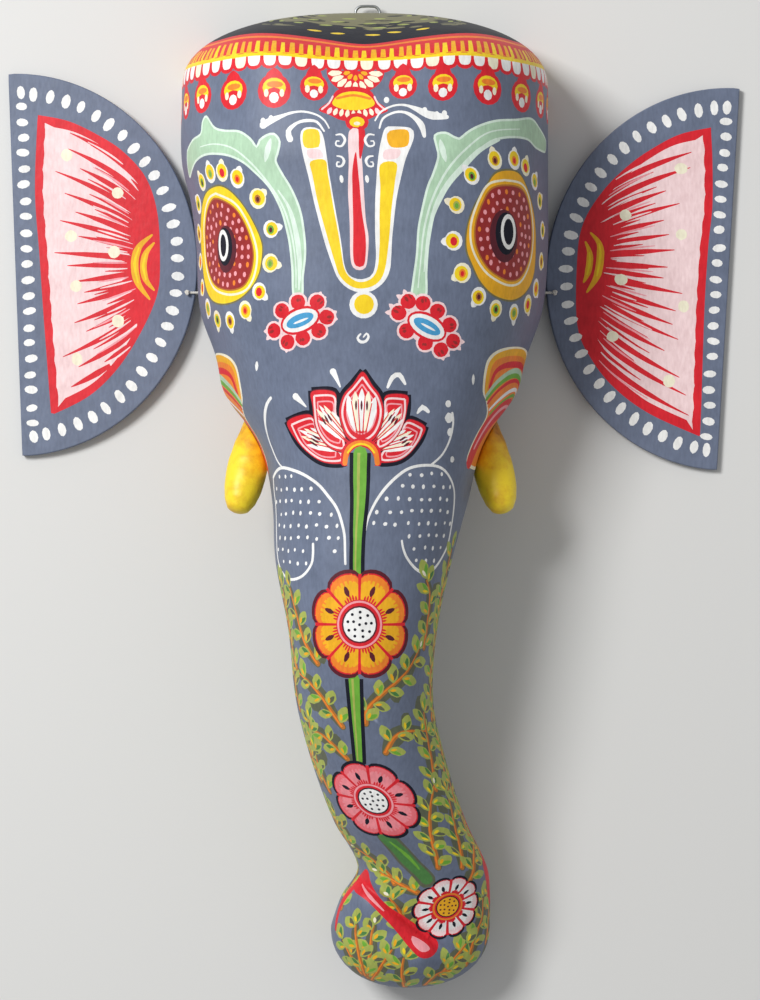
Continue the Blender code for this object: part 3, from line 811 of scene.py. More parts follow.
def paintEyes():
    eyes = (
        {
            "ring": onFace((216.7, 186.5), (227.8, 189.7), (240.6, 202.4), (251.7, 220), (259.7, 237.5),
                (262.1, 250.2), (258.9, 272.5), (250.1, 288.5), (237.4, 299.6), (223, 303.6),
                (211.9, 299.6), (205.5, 285.3), (202.3, 261.4), (200.7, 237.5), (201.5, 213.6),
                (205.5, 194.5)),
            "inner": onFace((216.7, 199.2), (232.6, 207.2), (243.7, 223.1), (251.7, 245.5), (252.5, 261.4),
                (248.5, 277.3), (240.6, 286.9), (226.2, 289.3), (213.5, 282.1), (207.1, 261.4),
                (205.5, 237.5), (206.3, 218.4), (210.3, 204)),
            "pupil": onFace((223.3, 245.5))[0],
            "size": (3.6, 6.3),
            "halo": (2.4, 0.6),
            "middle": (-67.0, 154.0),
            "reach": (26.8, 29.6),
            "dots": (116, 97, 80, 62, 37, 11, -15, -39, -60, -83, -106, -128, -150, -172, 166, 141),
            "light": "yellow",
        },
        {
            "ring": onFace((509, 170.6), (495.2, 174.1), (484.9, 189.6), (474.6, 206.8), (467.7, 227.5),
                (466.8, 248.1), (472.8, 265.3), (481.5, 282.6), (495.2, 295.5), (512.5, 299.8),
                (526.2, 291.2), (534, 272.2), (535.7, 237.8), (533.1, 210.2), (526.2, 186.1),
                (519.3, 174.1)),
            "inner": onFace((505.6, 186.1), (491.8, 189.6), (483.2, 203.3), (476.3, 224), (476.3, 243),
                (483.2, 260.2), (493.5, 272.2), (509, 280), (521.1, 275.7), (529.7, 255), (531.4, 229.2),
                (528, 203.3), (521.1, 189.6)),
            "pupil": onFace((508.7, 231.8))[0],
            "size": (4.4, 7.0),
            "halo": (-2.8, 0.8),
            "middle": (61.0, 150.0),
            "reach": (28.6, 30.4),
            "dots": (31, 49, 67, 83, 105, 132, 159, -174, -149, -126, -106, -83, -60, -40, -16, 8),
            # the right eye's ring is amber, a darker yellow that stands in for painted shade on that side
            "light": "amber",
        },
    )
    for look in eyes:
        face.closed("olive", grown(look["ring"], look["middle"], 1.03))
        # the ring in yellow, painted amber on the right eye as painted shade
        face.closed(look["light"], look["ring"])
        inner, middle = look["inner"], look["middle"]
        edge = grown(inner, middle, 1.12)
        face.stroke("cream", edge + edge[:1], 0.9, 1.5, False)
        face.closed("ochre", grown(inner, middle, 1.035))
        face.closed("brick", inner)
        pupil, halo = look["pupil"], look["halo"]
        wide, tall = look["size"]
        for share, count in ((0.88, 26), (0.68, 20), (0.50, 15)):
            for k in range(count):
                k = k + (0.5 if share == 0.68 else 0)
                spots = smooth(inner, 0.5, True)
                x, y = spots[int(len(spots) * k / count) % len(spots)]
                x, y = pupil[0] + (x - pupil[0]) * share, pupil[1] + (y - pupil[1]) * share
                spot = (x + uniform(-0.3, 0.3), y + uniform(-0.3, 0.3))
                face.blob("pink" if k % 3 else "orange", spot, uniform(0.7, 0.95), uniform(0.9, 1.2),
                    count=7)
        spread = abs(halo[0])
        face.blob("maroon", at(pupil, halo[0] * 0.8, halo[1] + 1), (wide + spread) * 1.1, tall * 1.5,
            count=20)
        face.blob("night", at(pupil, halo[0] * 0.5, halo[1]), wide + spread * 0.5, tall * 1.2, count=20)
        face.blob("white", pupil, wide, tall, count=22)
        face.blob("night", pupil, wide - 1.5, tall - 1.8, count=18)
        for k, degrees in enumerate(look["dots"]):
            angle = math.radians(degrees)
            out = (math.cos(angle), -math.sin(angle))
            spot = at(middle, look["reach"][0] * out[0], look["reach"][1] * out[1])
            grow = uniform(0.92, 1.08)
            ring = "white" if k % 2 else "cream"
            face.leaf(ring, spot, at(spot, 5.4 * out[0], 5.4 * out[1]), 4.0 * grow, 0.4)
            face.blob(ring, spot, 3.6 * grow, 3.8 * grow, count=14)
            face.blob("yellow", at(spot, 0.5 * out[0], 0.5 * out[1]), 2.8 * grow, 2.9 * grow, count=12)
            outside = ("stem", "orange", "leaf", "ochre", "red")[(k * 2) % 5]
            inside = ("maroon", "red", "stem", "maroon", "red")[(k * 2) % 5]
            face.blob(outside, at(spot, 0, 0.2), 1.5, 1.8, count=9)
            face.blob(inside, at(spot, 0, 0.3), 0.8, 1.1, count=7)


def paintRosettes():
    roses = (
        ((299.8, 320.4), -20, ((297.9, 302), (317.1, 302), (326.6, 317.2), (318.6, 330.7), (302.7, 337.9),
            (287.6, 341.9), (274, 330.7), (282, 310.8))),
        ((427.2, 326.5), 27, ((408.3, 301.5), (422.9, 303.2), (437.5, 311), (449.6, 324.8), (453, 341.1),
            (441, 349.7), (425.5, 342.9), (406.5, 330.8), (398.8, 312.7))),
    )
    for centre, lean, petals in roses:
        middle, spots = onFace(centre)[0], onFace(*petals)
        for spot in spots:
            face.blob("blush", spot, 3.95, 3.85, count=14, wobble=0.03)
            out = ((spot[0] - middle[0]) * 0.4, (spot[1] - middle[1]) * 0.4)
            for turn in (-0.45, 0.3):
                tip = at(spot, out[0] - out[1] * turn, out[1] + out[0] * turn)
                face.leaf("blush", spot, tip, 2.4, 0.5)
        face.blob("blush", middle, 9.5, 7.0, lean, 18)
        for spot in spots:
            face.blob("red", spot, 3.1, 3.0, count=13, wobble=0.04)
            out = ((spot[0] - middle[0]) * 0.2, (spot[1] - middle[1]) * 0.2)
            face.leaf("brick", spot, at(spot, *out), 1.3)
            face.leaf("brick", at(spot, -out[1] * 0.7, out[0] * 0.7), at(spot, out[0] - out[1] * 0.7,
                out[1] + out[0] * 0.7), 0.8)
        face.blob("red", middle, 8.6, 5.2, lean, 20)
        face.blob("white", middle, 7.7, 4.1, lean, 20)
        face.blob("blue", middle, 6.0, 2.5, lean, 18)
        face.blob("white", at(middle, 0.4, 0.2), 3.4, 0.5, lean, 8)


def paintLotus():
    petals = (
        ((286.5, 421.3), (309.7, 413.8), (316.4, 429.6), (324.7, 441.2), (337.9, 449.5), (345.4, 456.1),
            (344.6, 463.5), (326.3, 463.5), (311.4, 456.1), (296.5, 441.2)),
        ((425.8, 426.2), (408.4, 418.8), (400.9, 432.9), (391, 444.5), (379.4, 454.4), (378.5, 462.7),
            (396, 461.9), (409.2, 454.4), (420.8, 439.5)),
        ((311.4, 390.6), (334.6, 391.4), (336.3, 409.7), (339.6, 426.2), (345.4, 442.8), (345.4, 452.8),
            (331.3, 449.5), (321.3, 439.5), (314.7, 426.2), (312.2, 406.3)),
        ((407.6, 394.7), (386, 394.7), (384.4, 409.7), (381, 427.9), (376.1, 442.8), (376.9, 451.1),
            (387.7, 446.1), (397.6, 436.2), (404.3, 422.9), (407.6, 408)),
        ((362.8, 370.7), (352.8, 383.1), (342.9, 394.7), (338.7, 411.3), (341.2, 426.2), (347.9, 439.5),
            (361.1, 446.1), (374.4, 439.5), (381.9, 426.2), (384.4, 409.7), (380.2, 394.7),
            (372.7, 384.8)),
    )
    base = onFace((361, 452))[0]
    outlines = [onFace(*petal) for petal in petals]
    for outline in outlines:
        face.stroke("night", outline + outline[:1], 2.8, 1.6, False)
    for outline in outlines:
        middle = centreOf(outline)
        face.closed("maroon", outline)
        face.closed("red", grown(outline, middle, 0.97))
        for paint, width, grow in (("blush", 0.8, (0.84, 0.84)), ("pink", 0.6, (0.64, 0.66))):
            inset = grown(outline, middle, *grow)
            face.stroke(paint, inset + inset[:1], width, 1.3, False)
        tip = outline[0]
        across = (-(tip[1] - middle[1]), tip[0] - middle[0])
        size = math.hypot(*across)
        across = (across[0] / size, across[1] / size)
        wide = 2.7 if outline is outlines[4] else 1.7
        for k in (-2, 2, -1, 1, 0):
            near = shifted(between(base, middle, 0.5), across, k, wide, 0.45)
            reach = uniform(0.48, 0.66) - 0.13 * abs(k)
            far = shifted(between(middle, tip, reach), across, k, wide)
            face.leaf("white" if k % 2 == 0 else "cream", near, far, wide * 1.3, 0.6)
        for k in (-1.5, -0.5, 0.5, 1.5):
            near = shifted(between(base, middle, 0.35), across, k, wide, 0.35)
            reach = uniform(0.15, 0.4)
            far = shifted(between(middle, tip, reach), across, k, wide)
            face.stroke("red", [near, far], (0.5, 0.9, 0.4), 2.0, False)
        for k in (-1, 0, 1):
            near = shifted(middle, across, k, wide, 0.8)
            far = shifted(near, (tip[0] - middle[0], tip[1] - middle[1]), 0.26)
            face.leaf("maroon", near, far, 0.9)
    face.closed("red", around(base, 1.12, (-7, 4.4), (-6.6, -1.2), (-3.6, -4), (0, -5), (3.6, -4),
        (6.6, -1.2), (7, 4.4), (4, 4.8), (-4, 4.8)))
    face.closed("slate", around(base, 1, (-5, 5.8), (-4.6, 1.0), (-2.4, -1.4), (0, -2), (2.4, -1.4),
        (4.6, 1.0), (5, 5.8)))
    face.stroke("orange", around(base, 1, (-6.4, 4.4), (-5.6, -0.2), (-3.2, -2.8), (0, -3.6), (3.2, -2.8),
        (5.6, -0.2), (6.4, 4.4)), 2.0)
    face.stroke("yellow", around(base, 1, (-5.2, 0.2), (-3.0, -2.3), (0, -3.2), (3.0, -2.3), (5.2, 0.2)),
        0.8)


def paintDottedLobes():
    left = onFace((273.2, 477.6), (276.6, 471), (282.4, 467.7), (293.1, 470.2), (304.8, 475.2),
        (318, 484.3), (328, 495.9), (336.3, 507.5), (341.2, 520.8), (344.6, 537.3), (345.4, 564))
    leftSide = onFace((273.2, 477.6), (274, 490), (275.7, 505.8), (276.6, 539), (278.2, 560.6),
        (282.4, 572.2), (288.2, 578.8), (296.5, 578.8), (304.8, 573.8), (311.4, 563.9), (313, 553.9),
        (313, 544))
    right = onFace((365.3, 530.7), (367.8, 519.1), (374.4, 504.2), (384.4, 489.3), (397.6, 476),
        (410.9, 467.7), (427.5, 465.2), (440.7, 467.7), (449, 476), (454, 489.3), (454, 505.8),
        (451.5, 525.7), (447.4, 545.6), (439.1, 562.2), (430.8, 571.3), (424.2, 573), (415.9, 568.9),
        (407.6, 558.9), (403.4, 549), (401.8, 540.7))
    dots = []
    dotColumns, dotRows = 4.7, 4.9
    for outline in (left + leftSide[::-1], right):
        xs, ys = [x for x, y in outline], [y for x, y in outline]
        for row in range(int((max(ys) - min(ys)) / dotRows)):
            for column in range(int((max(xs) - min(xs)) / dotColumns) + 1):
                x = min(xs) + 2.6 + dotColumns * column + uniform(-0.5, 0.5) + (1.2 if row % 2 else 0)
                spot = (x, min(ys) + 3.6 + dotRows * row + uniform(-0.4, 0.4))
                if isInside(spot, outline) and clear(spot, outline, 1.5):
                    dots.append(spot)
    for spot in dots:
        face.blob("white", spot, uniform(0.6, 0.9), uniform(0.7, 1.0), count=7)
    face.stroke("white", left, (1.3, 1.2, 0.9))
    face.stroke("white", leftSide, 1.1)
    face.stroke("white", right, (0.8, 1.2, 1.1, 1.0, 1.1, 1.3, 0.8))
    stalks = (
        ((0.8, 0.9, 1.1, 1.7, 1.3), (282.4, 467.7), (276.6, 459.4), (269.9, 442.8), (265.8, 427.9),
            (265, 413), (267.4, 403), (270.8, 398)),
        ((0.9, 0.9, 1.0, 1.0), (430.8, 465.2), (442.4, 454.4), (449.9, 439.5), (453.2, 422.9),
            (452.3, 413)),
    )
    lines("white", *stalks)
    for (x, y), size in (((448.2, 403.8), 1.3), ((449, 417.9), 1.9), ((450, 432), 1.5),
        ((452.3, 459.4), 1.2)):
        face.blob("white", onFace((x, y))[0], size, size * 1.1, count=10, wobble=0.1)
    curls = (
        ((2.6, 1.4, 0.5), (332.9, 371.5), (336.3, 378.1), (340.4, 387.3)),
        ((2.8, 1.6, 0.5), (295.6, 396.4), (299.8, 400.5), (306.4, 407)),
        ((1.0, 1.8, 2.0, 1.0), (387.7, 387.3), (392.6, 377.3), (399.3, 374.8), (405.1, 383.9)),
        ((0.8, 2.2, 1.4), (417.5, 413), (422.5, 407.2), (428.3, 411.5)),
    )
    lines("white", *curls)
    tipLoop = ((360.5, 334), (357.5, 338), (361, 342), (366, 341), (368.5, 336.5), (366.5, 333.5),
        (363.5, 337))
    face.stroke("white", onFace(*tipLoop), (0.7, 1.2, 1.0, 0.6), 0.8)
    face.leaf("white", onFace((256.4, 371))[0], onFace((257, 361))[0], 1.9)
    face.leaf("white", onFace((473.1, 385))[0], onFace((473.4, 374))[0], 1.6)


def isInside(spot, outline):
    odd = False
    for (ax, ay), (bx, by) in zip(outline, outline[1:] + outline[:1]):
        if (ay > spot[1]) != (by > spot[1]) and spot[0] < ax + (bx - ax) * (spot[1] - ay) / (by - ay):
            odd = not odd
    return odd


def clear(spot, outline, gap):
    return all(math.hypot(spot[0] - x, spot[1] - y) > gap for x, y in smooth(outline, 1.0, True))


def paintFlower(centre, size, count, phase, colours, squash=1.0):
    outline, petal, edge, line, ring, heart = colours
    middle = onFace(centre)[0]

    def polar(angle, reach, wide=1.0):
        return at(middle, math.cos(angle) * reach * wide, math.sin(angle) * reach * squash)

    for grow, paint in ((1.0, outline), (0.93, line), (0.905, edge), (0.80, petal)):
        rim = []
        for k in range(count * 8):
            angle = phase + 2 * math.pi * k / (count * 8)
            bump = abs(math.sin((angle - phase) * count / 2)) ** 0.55
            rim.append(polar(angle, size * (grow - 0.13 + 0.13 * bump)))
        face.lay(paint, rim)
    for k in range(count):
        angle = phase + 2 * math.pi * k / count
        face.stroke(line, [polar(angle, size * 0.4), polar(angle, size * 0.88)], (0.9, 1.3), 2.0, False)
        half = angle + math.pi / count
        for shift in (-0.5, -0.25, 0.0, 0.25, 0.5):
            turn = half + shift * math.pi / count * 1.1
            face.leaf(edge, polar(turn, size * 0.9), polar(turn, size * (0.70 + 0.08 * abs(shift))), 0.9)
            face.leaf(line, polar(turn + 0.04, size * 0.40), polar(turn + 0.04,
                size * (0.56 - 0.1 * abs(shift))), 0.8)
        face.leaf(outline, polar(half, size * 0.52), polar(half, size * 0.72), 1.9 * size / 20, 0.45)
    face.blob(line, middle, size * 0.44, size * 0.44 * squash, count=24)
    face.stroke(ring, [polar(2 * math.pi * k / 24, size * 0.40) for k in range(25)], 0.8, 1.3, False)
    face.blob(outline, middle, size * 0.33, size * 0.33 * squash, count=20)
    face.blob(heart[0], middle, size * 0.30, size * 0.30 * squash, count=20)
    for reach, spots in ((0.0, 1), (0.12, 5), (0.22, 9)):
        for k in range(spots):
            face.blob(heart[1], polar(2 * math.pi * k / spots + reach * 9, size * reach), 0.55 * size / 18,
                count=6)


def paintTrunk():
    stems = (
        ((342.7, 727), (332, 712), (321.3, 696.3), (308, 681), (296.8, 670.3)),
        ((347.3, 759), (333.5, 745.3), (321.3, 734.6), (306, 727)),
        ((365.7, 724), (368, 709), (385, 692), (407, 671.8), (419, 650)),
        ((385.6, 753), (394.8, 737.6), (407, 731.5), (426, 731)),
        ((297, 668), (291, 640), (284, 612), (281, 585)),
        ((318, 664), (304, 640), (296, 612), (290, 588)),
        ((424, 648), (428, 620), (430, 596), (427, 580)),
        ((432, 720), (438, 690), (440, 655), (441, 620), (442, 590)),
        ((436, 790), (432, 762), (428, 740), (424, 712)),
        ((452, 800), (444, 770), (440, 742)),
        ((438, 868), (432, 840), (430, 812), (434, 786)),
        ((462, 868), (458, 838), (452, 812), (447, 790)),
        ((470, 880), (474, 856), (470, 832), (463, 812)),
        ((306, 762), (311, 740), (309, 720)),
        ((330, 792), (320, 770), (314, 748)),
        ((352, 846), (345, 832), (336, 816)),
        ((395, 884), (382, 868), (368, 856), (356, 848)),
        ((418, 893), (400, 884), (380, 872)),
        ((412, 936), (400, 912), (390, 898)),
        ((466, 965), (474, 940), (482, 918), (483, 898)),
        ((440, 975), (455, 958), (466, 944)),
        ((362, 974), (352, 958), (343, 940)),
        ((368, 978), (370, 952), (374, 926)),
        ((372, 980), (384, 962), (392, 950)),
        ((366, 976), (358, 950), (356, 925)),
        ((404, 988), (402, 972), (404, 958)),
        ((425, 985), (436, 975), (450, 970)),
    )
    paths = [onFace(*stem) for stem in stems]
    for side in (-1, 1):
        for k in range(11):
            down = 284 + 16 * k
            half = halfAt(down)
            for share in (0.40, 0.58, 0.76):
                s = side * half * share + uniform(-1.5, 1.5)
                if share > 0.5 or side > 0 or k % 2:
                    paths.append([(s, down + 9), (s + side * 1.5, down), (s + side * uniform(1, 4),
                        down - 9)])
    for path in paths:
        face.stroke("moss", path, (3.0, uniform(6, 8), uniform(5, 7.5), 2.5), 2.4)
    for k in range(110):
        path = paths[k % len(paths)]
        x, y = path[k % len(path)]
        spot = (x + uniform(-5, 5), y + uniform(-6, 6))
        face.blob("moss", spot, uniform(2.5, 5), uniform(2, 4), uniform(0, 180), 10, 0.2)
    for path in paths:
        line = smooth(path, 1.0, False)
        face.stroke("ochre", path, (2.2, 1.7, 0.7))
        face.stroke("orange", [(x - 0.35, y) for x, y in path], (0.8, 0.6, 0.3), 1.5, False)
        reach, side = 2.5, 1
        for k in range(1, len(line)):
            reach += math.hypot(line[k][0] - line[k - 1][0], line[k][1] - line[k - 1][1])
            last = k == len(line) - 1
            if reach < 3.7 and not last:
                continue
            angle = math.atan2(line[k][1] - line[k - 1][1], line[k][0] - line[k - 1][0])
            angle += 0 if last else side * math.radians(uniform(38, 62))
            size, wide = uniform(6.6, 8.8), uniform(4.2, 5.4)
            out = (math.cos(angle), math.sin(angle))
            root = shifted(line[k], out, 0.6)
            tip = shifted(root, out, size)
            if abs(tip[0]) > halfAt(tip[1]) - 3:
                continue
            face.leaf("leaf", root, tip, wide)
            shade = shifted(root, out, size * 0.12)
            dark, light = ("fern", "moss", "stem")[k % 3], ("yellow", "cream", "amber", "yellow")[k % 4]
            for paint, bend, long, narrow in ((dark, 0.28, 0.72, 0.36), (light, -0.25, 0.5, 0.26)):
                bent = (math.cos(angle + bend), math.sin(angle + bend))
                face.leaf(paint, shade, shifted(root, bent, size * long), wide * narrow)
            reach, side = 0, -side
    face.stroke("moss", onFace((386.3, 836), (398, 849.2), (411.2, 863.9), (427.4, 881)), (8.6, 9.2, 7.0))
    face.stroke("fern", onFace((386.3, 838), (398, 849.2), (411.2, 863.9), (427.4, 880)), (6.4, 6.8, 4.6))
    face.stroke("stem", onFace((390, 842), (404, 853), (419, 869)), (0.6, 2.0, 0.8))


def paintStems():
    for path, widths in ((((360.3, 452.8), (359.8, 481), (358.2, 522.4), (357.3, 547.3), (357, 574)),
        (5.4, 5.2, 4.2, 3.2, 3.0)), (((354, 679), (355.5, 705), (357.5, 735), (359.5, 763)),
        (4.4, 3.6, 3.0, 2.4))):
        spots = onFace(*path)
        face.stroke("night", spots, [w + 3.0 for w in widths], 2.0, False)
        face.stroke("stem", spots, list(widths), 2.0)
        face.stroke("leaf", [at(spot, -0.6, 0) for spot in spots], [w * 0.22 for w in widths], 2.0, False)


def paintCurl():
    # the underside of the trunk and the folded lip are red
    marks = onFace((473, 806), (478, 826), (481, 847), (483.5, 868), (486.5, 885), (489, 905))
    face.lay("red", smooth(marks, 2.0, False) + smooth([(x + 11, y) for x, y in marks[::-1]], 2.0, False))
    underside = ((366, 869), (370, 880), (375, 891), (388, 906), (405, 917), (424, 930), (436, 939),
        (438, 948), (431, 957), (420, 957.5), (408, 946), (396, 931), (381, 915), (366, 900), (354, 889),
        (358, 878))
    face.closed("red", onFace(*underside))
    foldedLip = ((360, 880), (354, 886), (349.5, 891.5), (344.5, 898), (340, 907), (337, 918), (336, 930))
    face.stroke("red", onFace(*foldedLip), (3.6, 3.8, 3.8, 3.6, 3.0, 2.2, 1.0))
    # the pink marks on the red fold are painted highlights
    face.closed("pink", onFace((412, 936), (424, 942), (430, 949), (422, 952), (413, 944)))
    face.stroke("pink", onFace((362, 884), (372, 899), (384, 911)), (0.5, 1.4, 0.5))


def paintLips():
    # striped lips round the mouth's corners, above and in front of the tusks
    mouth = ((50.5, 212), (49.8, 204), (51.5, 198.5), (58, 195), (70, 193.5), (84, 193.8), (97, 196),
        (106, 202), (108, 212), (104, 224), (94, 234), (80, 240), (64, 243), (50, 242), (47, 238),
        (52, 229), (57, 222), (54, 216))
    stripes = (
        ("amber", 2.8, ((53, 212), (52.5, 204), (55, 199), (62, 196.6), (72, 195.6), (84, 196), (96, 199),
            (103, 206), (104, 214), (100, 224))),
        ("orange", 1.8, ((54, 211), (54.8, 204), (59, 200), (70, 198.2), (84, 198.4), (95, 202), (100, 208),
            (101, 214))),
        ("red", 2.6, ((55, 210), (57, 204.5), (62, 201.8), (71, 200.6), (84, 200.8), (93, 204), (97, 210),
            (97, 218))),
        ("mint", 2.2, ((53.5, 213.5), (60, 207.8), (70, 203.8), (80, 203), (90, 206), (94, 212),
            (94, 219))),
        ("stem", 2.0, ((54, 215), (60.5, 209.8), (70, 205.8), (80, 205), (88.5, 207.8), (92, 213),
            (92, 220))),
        ("red", 1.6, ((55.5, 216.5), (62, 211.6), (71, 207.8), (80, 206.9), (87.5, 209.3), (90, 214),
            (90, 220))),
        ("orange", 1.6, ((56.5, 217.6), (63, 213), (72, 209.4), (80, 208.6), (86.5, 210.8), (88.5, 215),
            (88, 221))),
        ("white", 1.6, ((58.5, 219), (65.5, 214.8), (74, 211.3), (81, 210.4), (86, 212.4), (87, 217))),
        ("stem", 1.4, ((60, 220.8), (67, 216.8), (76, 213.4), (82, 212.8), (85, 215), (85, 219))),
        ("red", 8.5, ((50, 240), (56, 231.5), (62.5, 225), (70, 220.5), (78, 218), (86, 219), (92, 223))),
        ("pink", 1.8, ((53, 234.5), (60, 226.5), (68, 220.4), (76, 217.4), (84, 217.6))),
    )
    for side, shift in ((1, 0), (-1, 13)):
        shapes = [mouth, grown(mouth, (78, 217), 0.95)] + [path for paint, width, path in stripes]
        shapes = [[(side * (x + shift), y + shift * 0.15) for x, y in points] for points in shapes]
        face.closed("cream", shapes[0])
        face.closed("orange", shapes[1])
        for (paint, width, path), points in zip(stripes, shapes[2:]):
            face.stroke(paint, points, (width * 0.7, width, width, width * 0.6))


print("Painting the face")
paintCrown()
paintMiddlePendant()
paintMintBands()
paintTilak()
paintEyes()
paintRosettes()
paintLips()
paintDottedLobes()
paintLotus()
paintTrunk()
paintStems()
paintCurl()
# each flower: its middle in the photo, its size, petals and turn, its paints, and its height
# as a share of its width
flowers = (
    ((359.5, 624.7), 21.5, 8, 0, ("maroon", "amber", "orange", "red", "pink", ("white", "night")), 1.06),
    ((373, 801), 19.0, 8, 8, ("night", "rose", "coral", "red", "pink", ("white", "night")), 1.0),
    ((448, 906.5), 15.0, 10, 10, ("night", "white", "blush", "red", "orange", ("amber", "maroon")), 1.0),
)
for centre, size, count, turn, colours, tall in flowers:
    paintFlower(centre, size, count, math.radians(turn), colours, tall)
print("Outlines on the face:", len(face.outlines))

# Finishes


def paperPaint(name, colour, roughness=0.46, grain=1.0):
    # poster colour brushed on layered paper: thin, a little streaky, with a soft varnish
    material, tree, shader = newMaterial(name)
    place = addNode(tree, "ShaderNodeTexCoord").outputs["Object"]
    cloud = noise(tree, place, 90.0, 5.0, 0.6)
    streaks = addNode(tree, "ShaderNodeMapping", {"Scale": (900.0, 260.0, 900.0)}, {"Vector": place})
    brush = noise(tree, streaks.outputs[0], 1.0, 3.0)
    half = {"operation": "MULTIPLY_ADD", 1: 0.5}
    blend = addNode(tree, "ShaderNodeMath", {**half, 2: 0.0}, {0: cloud})
    total = addNode(tree, "ShaderNodeMath", half, {0: brush, 2: blend.outputs[0]})
    base = linear(colour)[:3]
    dark = (*[c * (1 - 0.16 * grain) for c in base], 1)
    light = (*[min(c * (1 + 0.10 * grain) + 0.004 * grain, 1) for c in base], 1)
    tint(tree, shader, total.outputs[0], (0.34, dark), (0.66, light))
    dull(tree, shader, cloud, roughness - 0.07, roughness + 0.10)
    lumps = noise(tree, place, 160.0, 4.0)
    relief = addNode(tree, "ShaderNodeMath", {"operation": "MULTIPLY_ADD", 1: 0.25}, {0: brush, 2: lumps})
    roughen(tree, shader, relief.outputs[0], 0.35, 0.5 * mm)
    shader.inputs["Specular IOR Level"].default_value = 0.3
    return material


paints = [paperPaint(f"Poster colour, {name}, on papier-mache", paintColours[name]) for name in paintNames]
# lamp black dries duller than the other colours
nightShader = paints[paintNumber["night"]].node_tree.nodes["Principled BSDF"]
nightShader.inputs["Specular IOR Level"].default_value = 0.08
rawPaper = paperPaint("Raw papier-mache, inside", "#b9ab92", 0.85, 1.6)
rimPaper = paperPaint("Raw papier-mache, cut rim", "#a99c86", 0.85, 1.4)


# The head

# How finely the painted skin is cut, in millimetres: along its edge, in rows and columns
# over the whole face, and closer round the folded lip of the trunk
skinMesh = {
    "edgeStep": 2.2,
    "rowGap": 2.9,
    "columnGap": 3.2,
    "margin": 1.2,
    "foldStep": 0.9,
    "foldDown": (400, 480),
    "foldAcross": 60,
    "foldReach": 8,
}


def setMap(mesh, chart):
    layer = mesh.uv_layers.new(name="OFBake")
    spots = np.array(chart)[[loop.vertex_index for loop in mesh.loops]]
    layer.data.foreach_set("uv", spots.ravel())


def makeHead():
    form = skinMesh
    borderAcross, borderDown = outer.rim(form["edgeStep"] * mm)
    right = [(a / mm, d / mm) for a, d in zip(borderAcross, borderDown)][1:]
    left = [(-a, d) for a, d in right[:-1]]
    border = right + left[::-1]
    turned = sum(ax * by - bx * ay for (ax, ay), (bx, by) in zip(border, border[1:] + border[:1]))
    border = border if turned > 0 else border[::-1]
    edges = np.array(right)
    extra = []
    for row in range(int(outer.down[-1] / mm / form["rowGap"])):
        down = 1.6 + row * form["rowGap"]
        reach = float(np.interp(down, edges[:, 1], edges[:, 0])) - form["margin"]
        for column in range(-80, 81):
            across = column * form["columnGap"] + (form["columnGap"] / 2 if row % 2 else 0)
            if abs(across) < reach:
                extra.append((across, down))
    downs = np.arange(*form["foldDown"], form["foldStep"])
    acrosses = np.arange(-form["foldAcross"], form["foldAcross"], form["foldStep"])
    close = [(a, d) for d in downs for a in acrosses]
    spots = np.array(close) * mm
    points = outer.point(spots[:, 0], spots[:, 1])
    along, gap = foldPlace(points[:, 0], points[:, 1])
    keep = (np.abs(gap + 1 * mm) < form["foldReach"] * mm) & (along > -0.5) & (along < 1.1)
    keep &= points[:, 2] > 12 * mm
    keep &= np.abs(spots[:, 0]) < np.interp(spots[:, 1], outer.down, outer.half) - 1 * mm
    extra += [close[k] for k in np.flatnonzero(keep)]
    chart, triangles, worn = face.mesh(border, [], extra)
    spots = outer.point(chart[:, 0] * mm, chart[:, 1] * mm)
    spots[:, 2] = np.clip(spots[:, 2], 0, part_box("head")[1][2])
    mesh = bpy.data.meshes.new("head_painted")
    mesh.from_pydata((spots + np.array(maskMiddle)).tolist(), [], triangles)
    mesh.polygons.foreach_set("material_index", worn.astype(np.int32))
    span = outer.down[-1] / mm
    setMap(mesh, np.stack((chart[:, 0] / span + 0.5, 1 - chart[:, 1] / span), 1))
    shape = bmesh.new()
    shape.from_mesh(mesh)
    bmesh.ops.remove_doubles(shape, verts=[v for v in shape.verts if v.is_boundary], dist=0.06 * mm)
    # what stays open off the ground is a slit where the crown's two sides meet
    slits = [edge for edge in shape.edges if edge.is_boundary and max(v.co.z for v in edge.verts) > 1 * mm]
    for item in bmesh.ops.holes_fill(shape, edges=slits, sides=6)["faces"]:
        item.material_index = paintNumber["olive"]
    return shape, mesh


def chartGrid(skin, rows, columns):
    # a flat grid, bent on to the skin's surface from its first pole to its last
    shape = bmesh.new()
    bmesh.ops.create_grid(shape, x_segments=columns, y_segments=rows, size=1)
    downs = np.array([(v.co.y + 1) / 2 * skin.down[-1] for v in shape.verts])
    shares = np.array([v.co.x for v in shape.verts])
    layer = shape.loops.layers.uv.new("OFBake")
    for facet in shape.faces:
        for loop in facet.loops:
            loop[layer].uv = (0.87 + 0.105 * loop.vert.co.x, 0.23 + 0.22 * loop.vert.co.y)
    spots = skin.point(shares * np.interp(downs, skin.down, skin.half), downs)
    for vert, spot in zip(shape.verts, spots):
        vert.co = Vector(spot) + maskMiddle
    bmesh.ops.remove_doubles(shape, verts=shape.verts, dist=0.02 * mm)
    bmesh.ops.dissolve_degenerate(shape, edges=shape.edges, dist=0.01 * mm)
    return shape


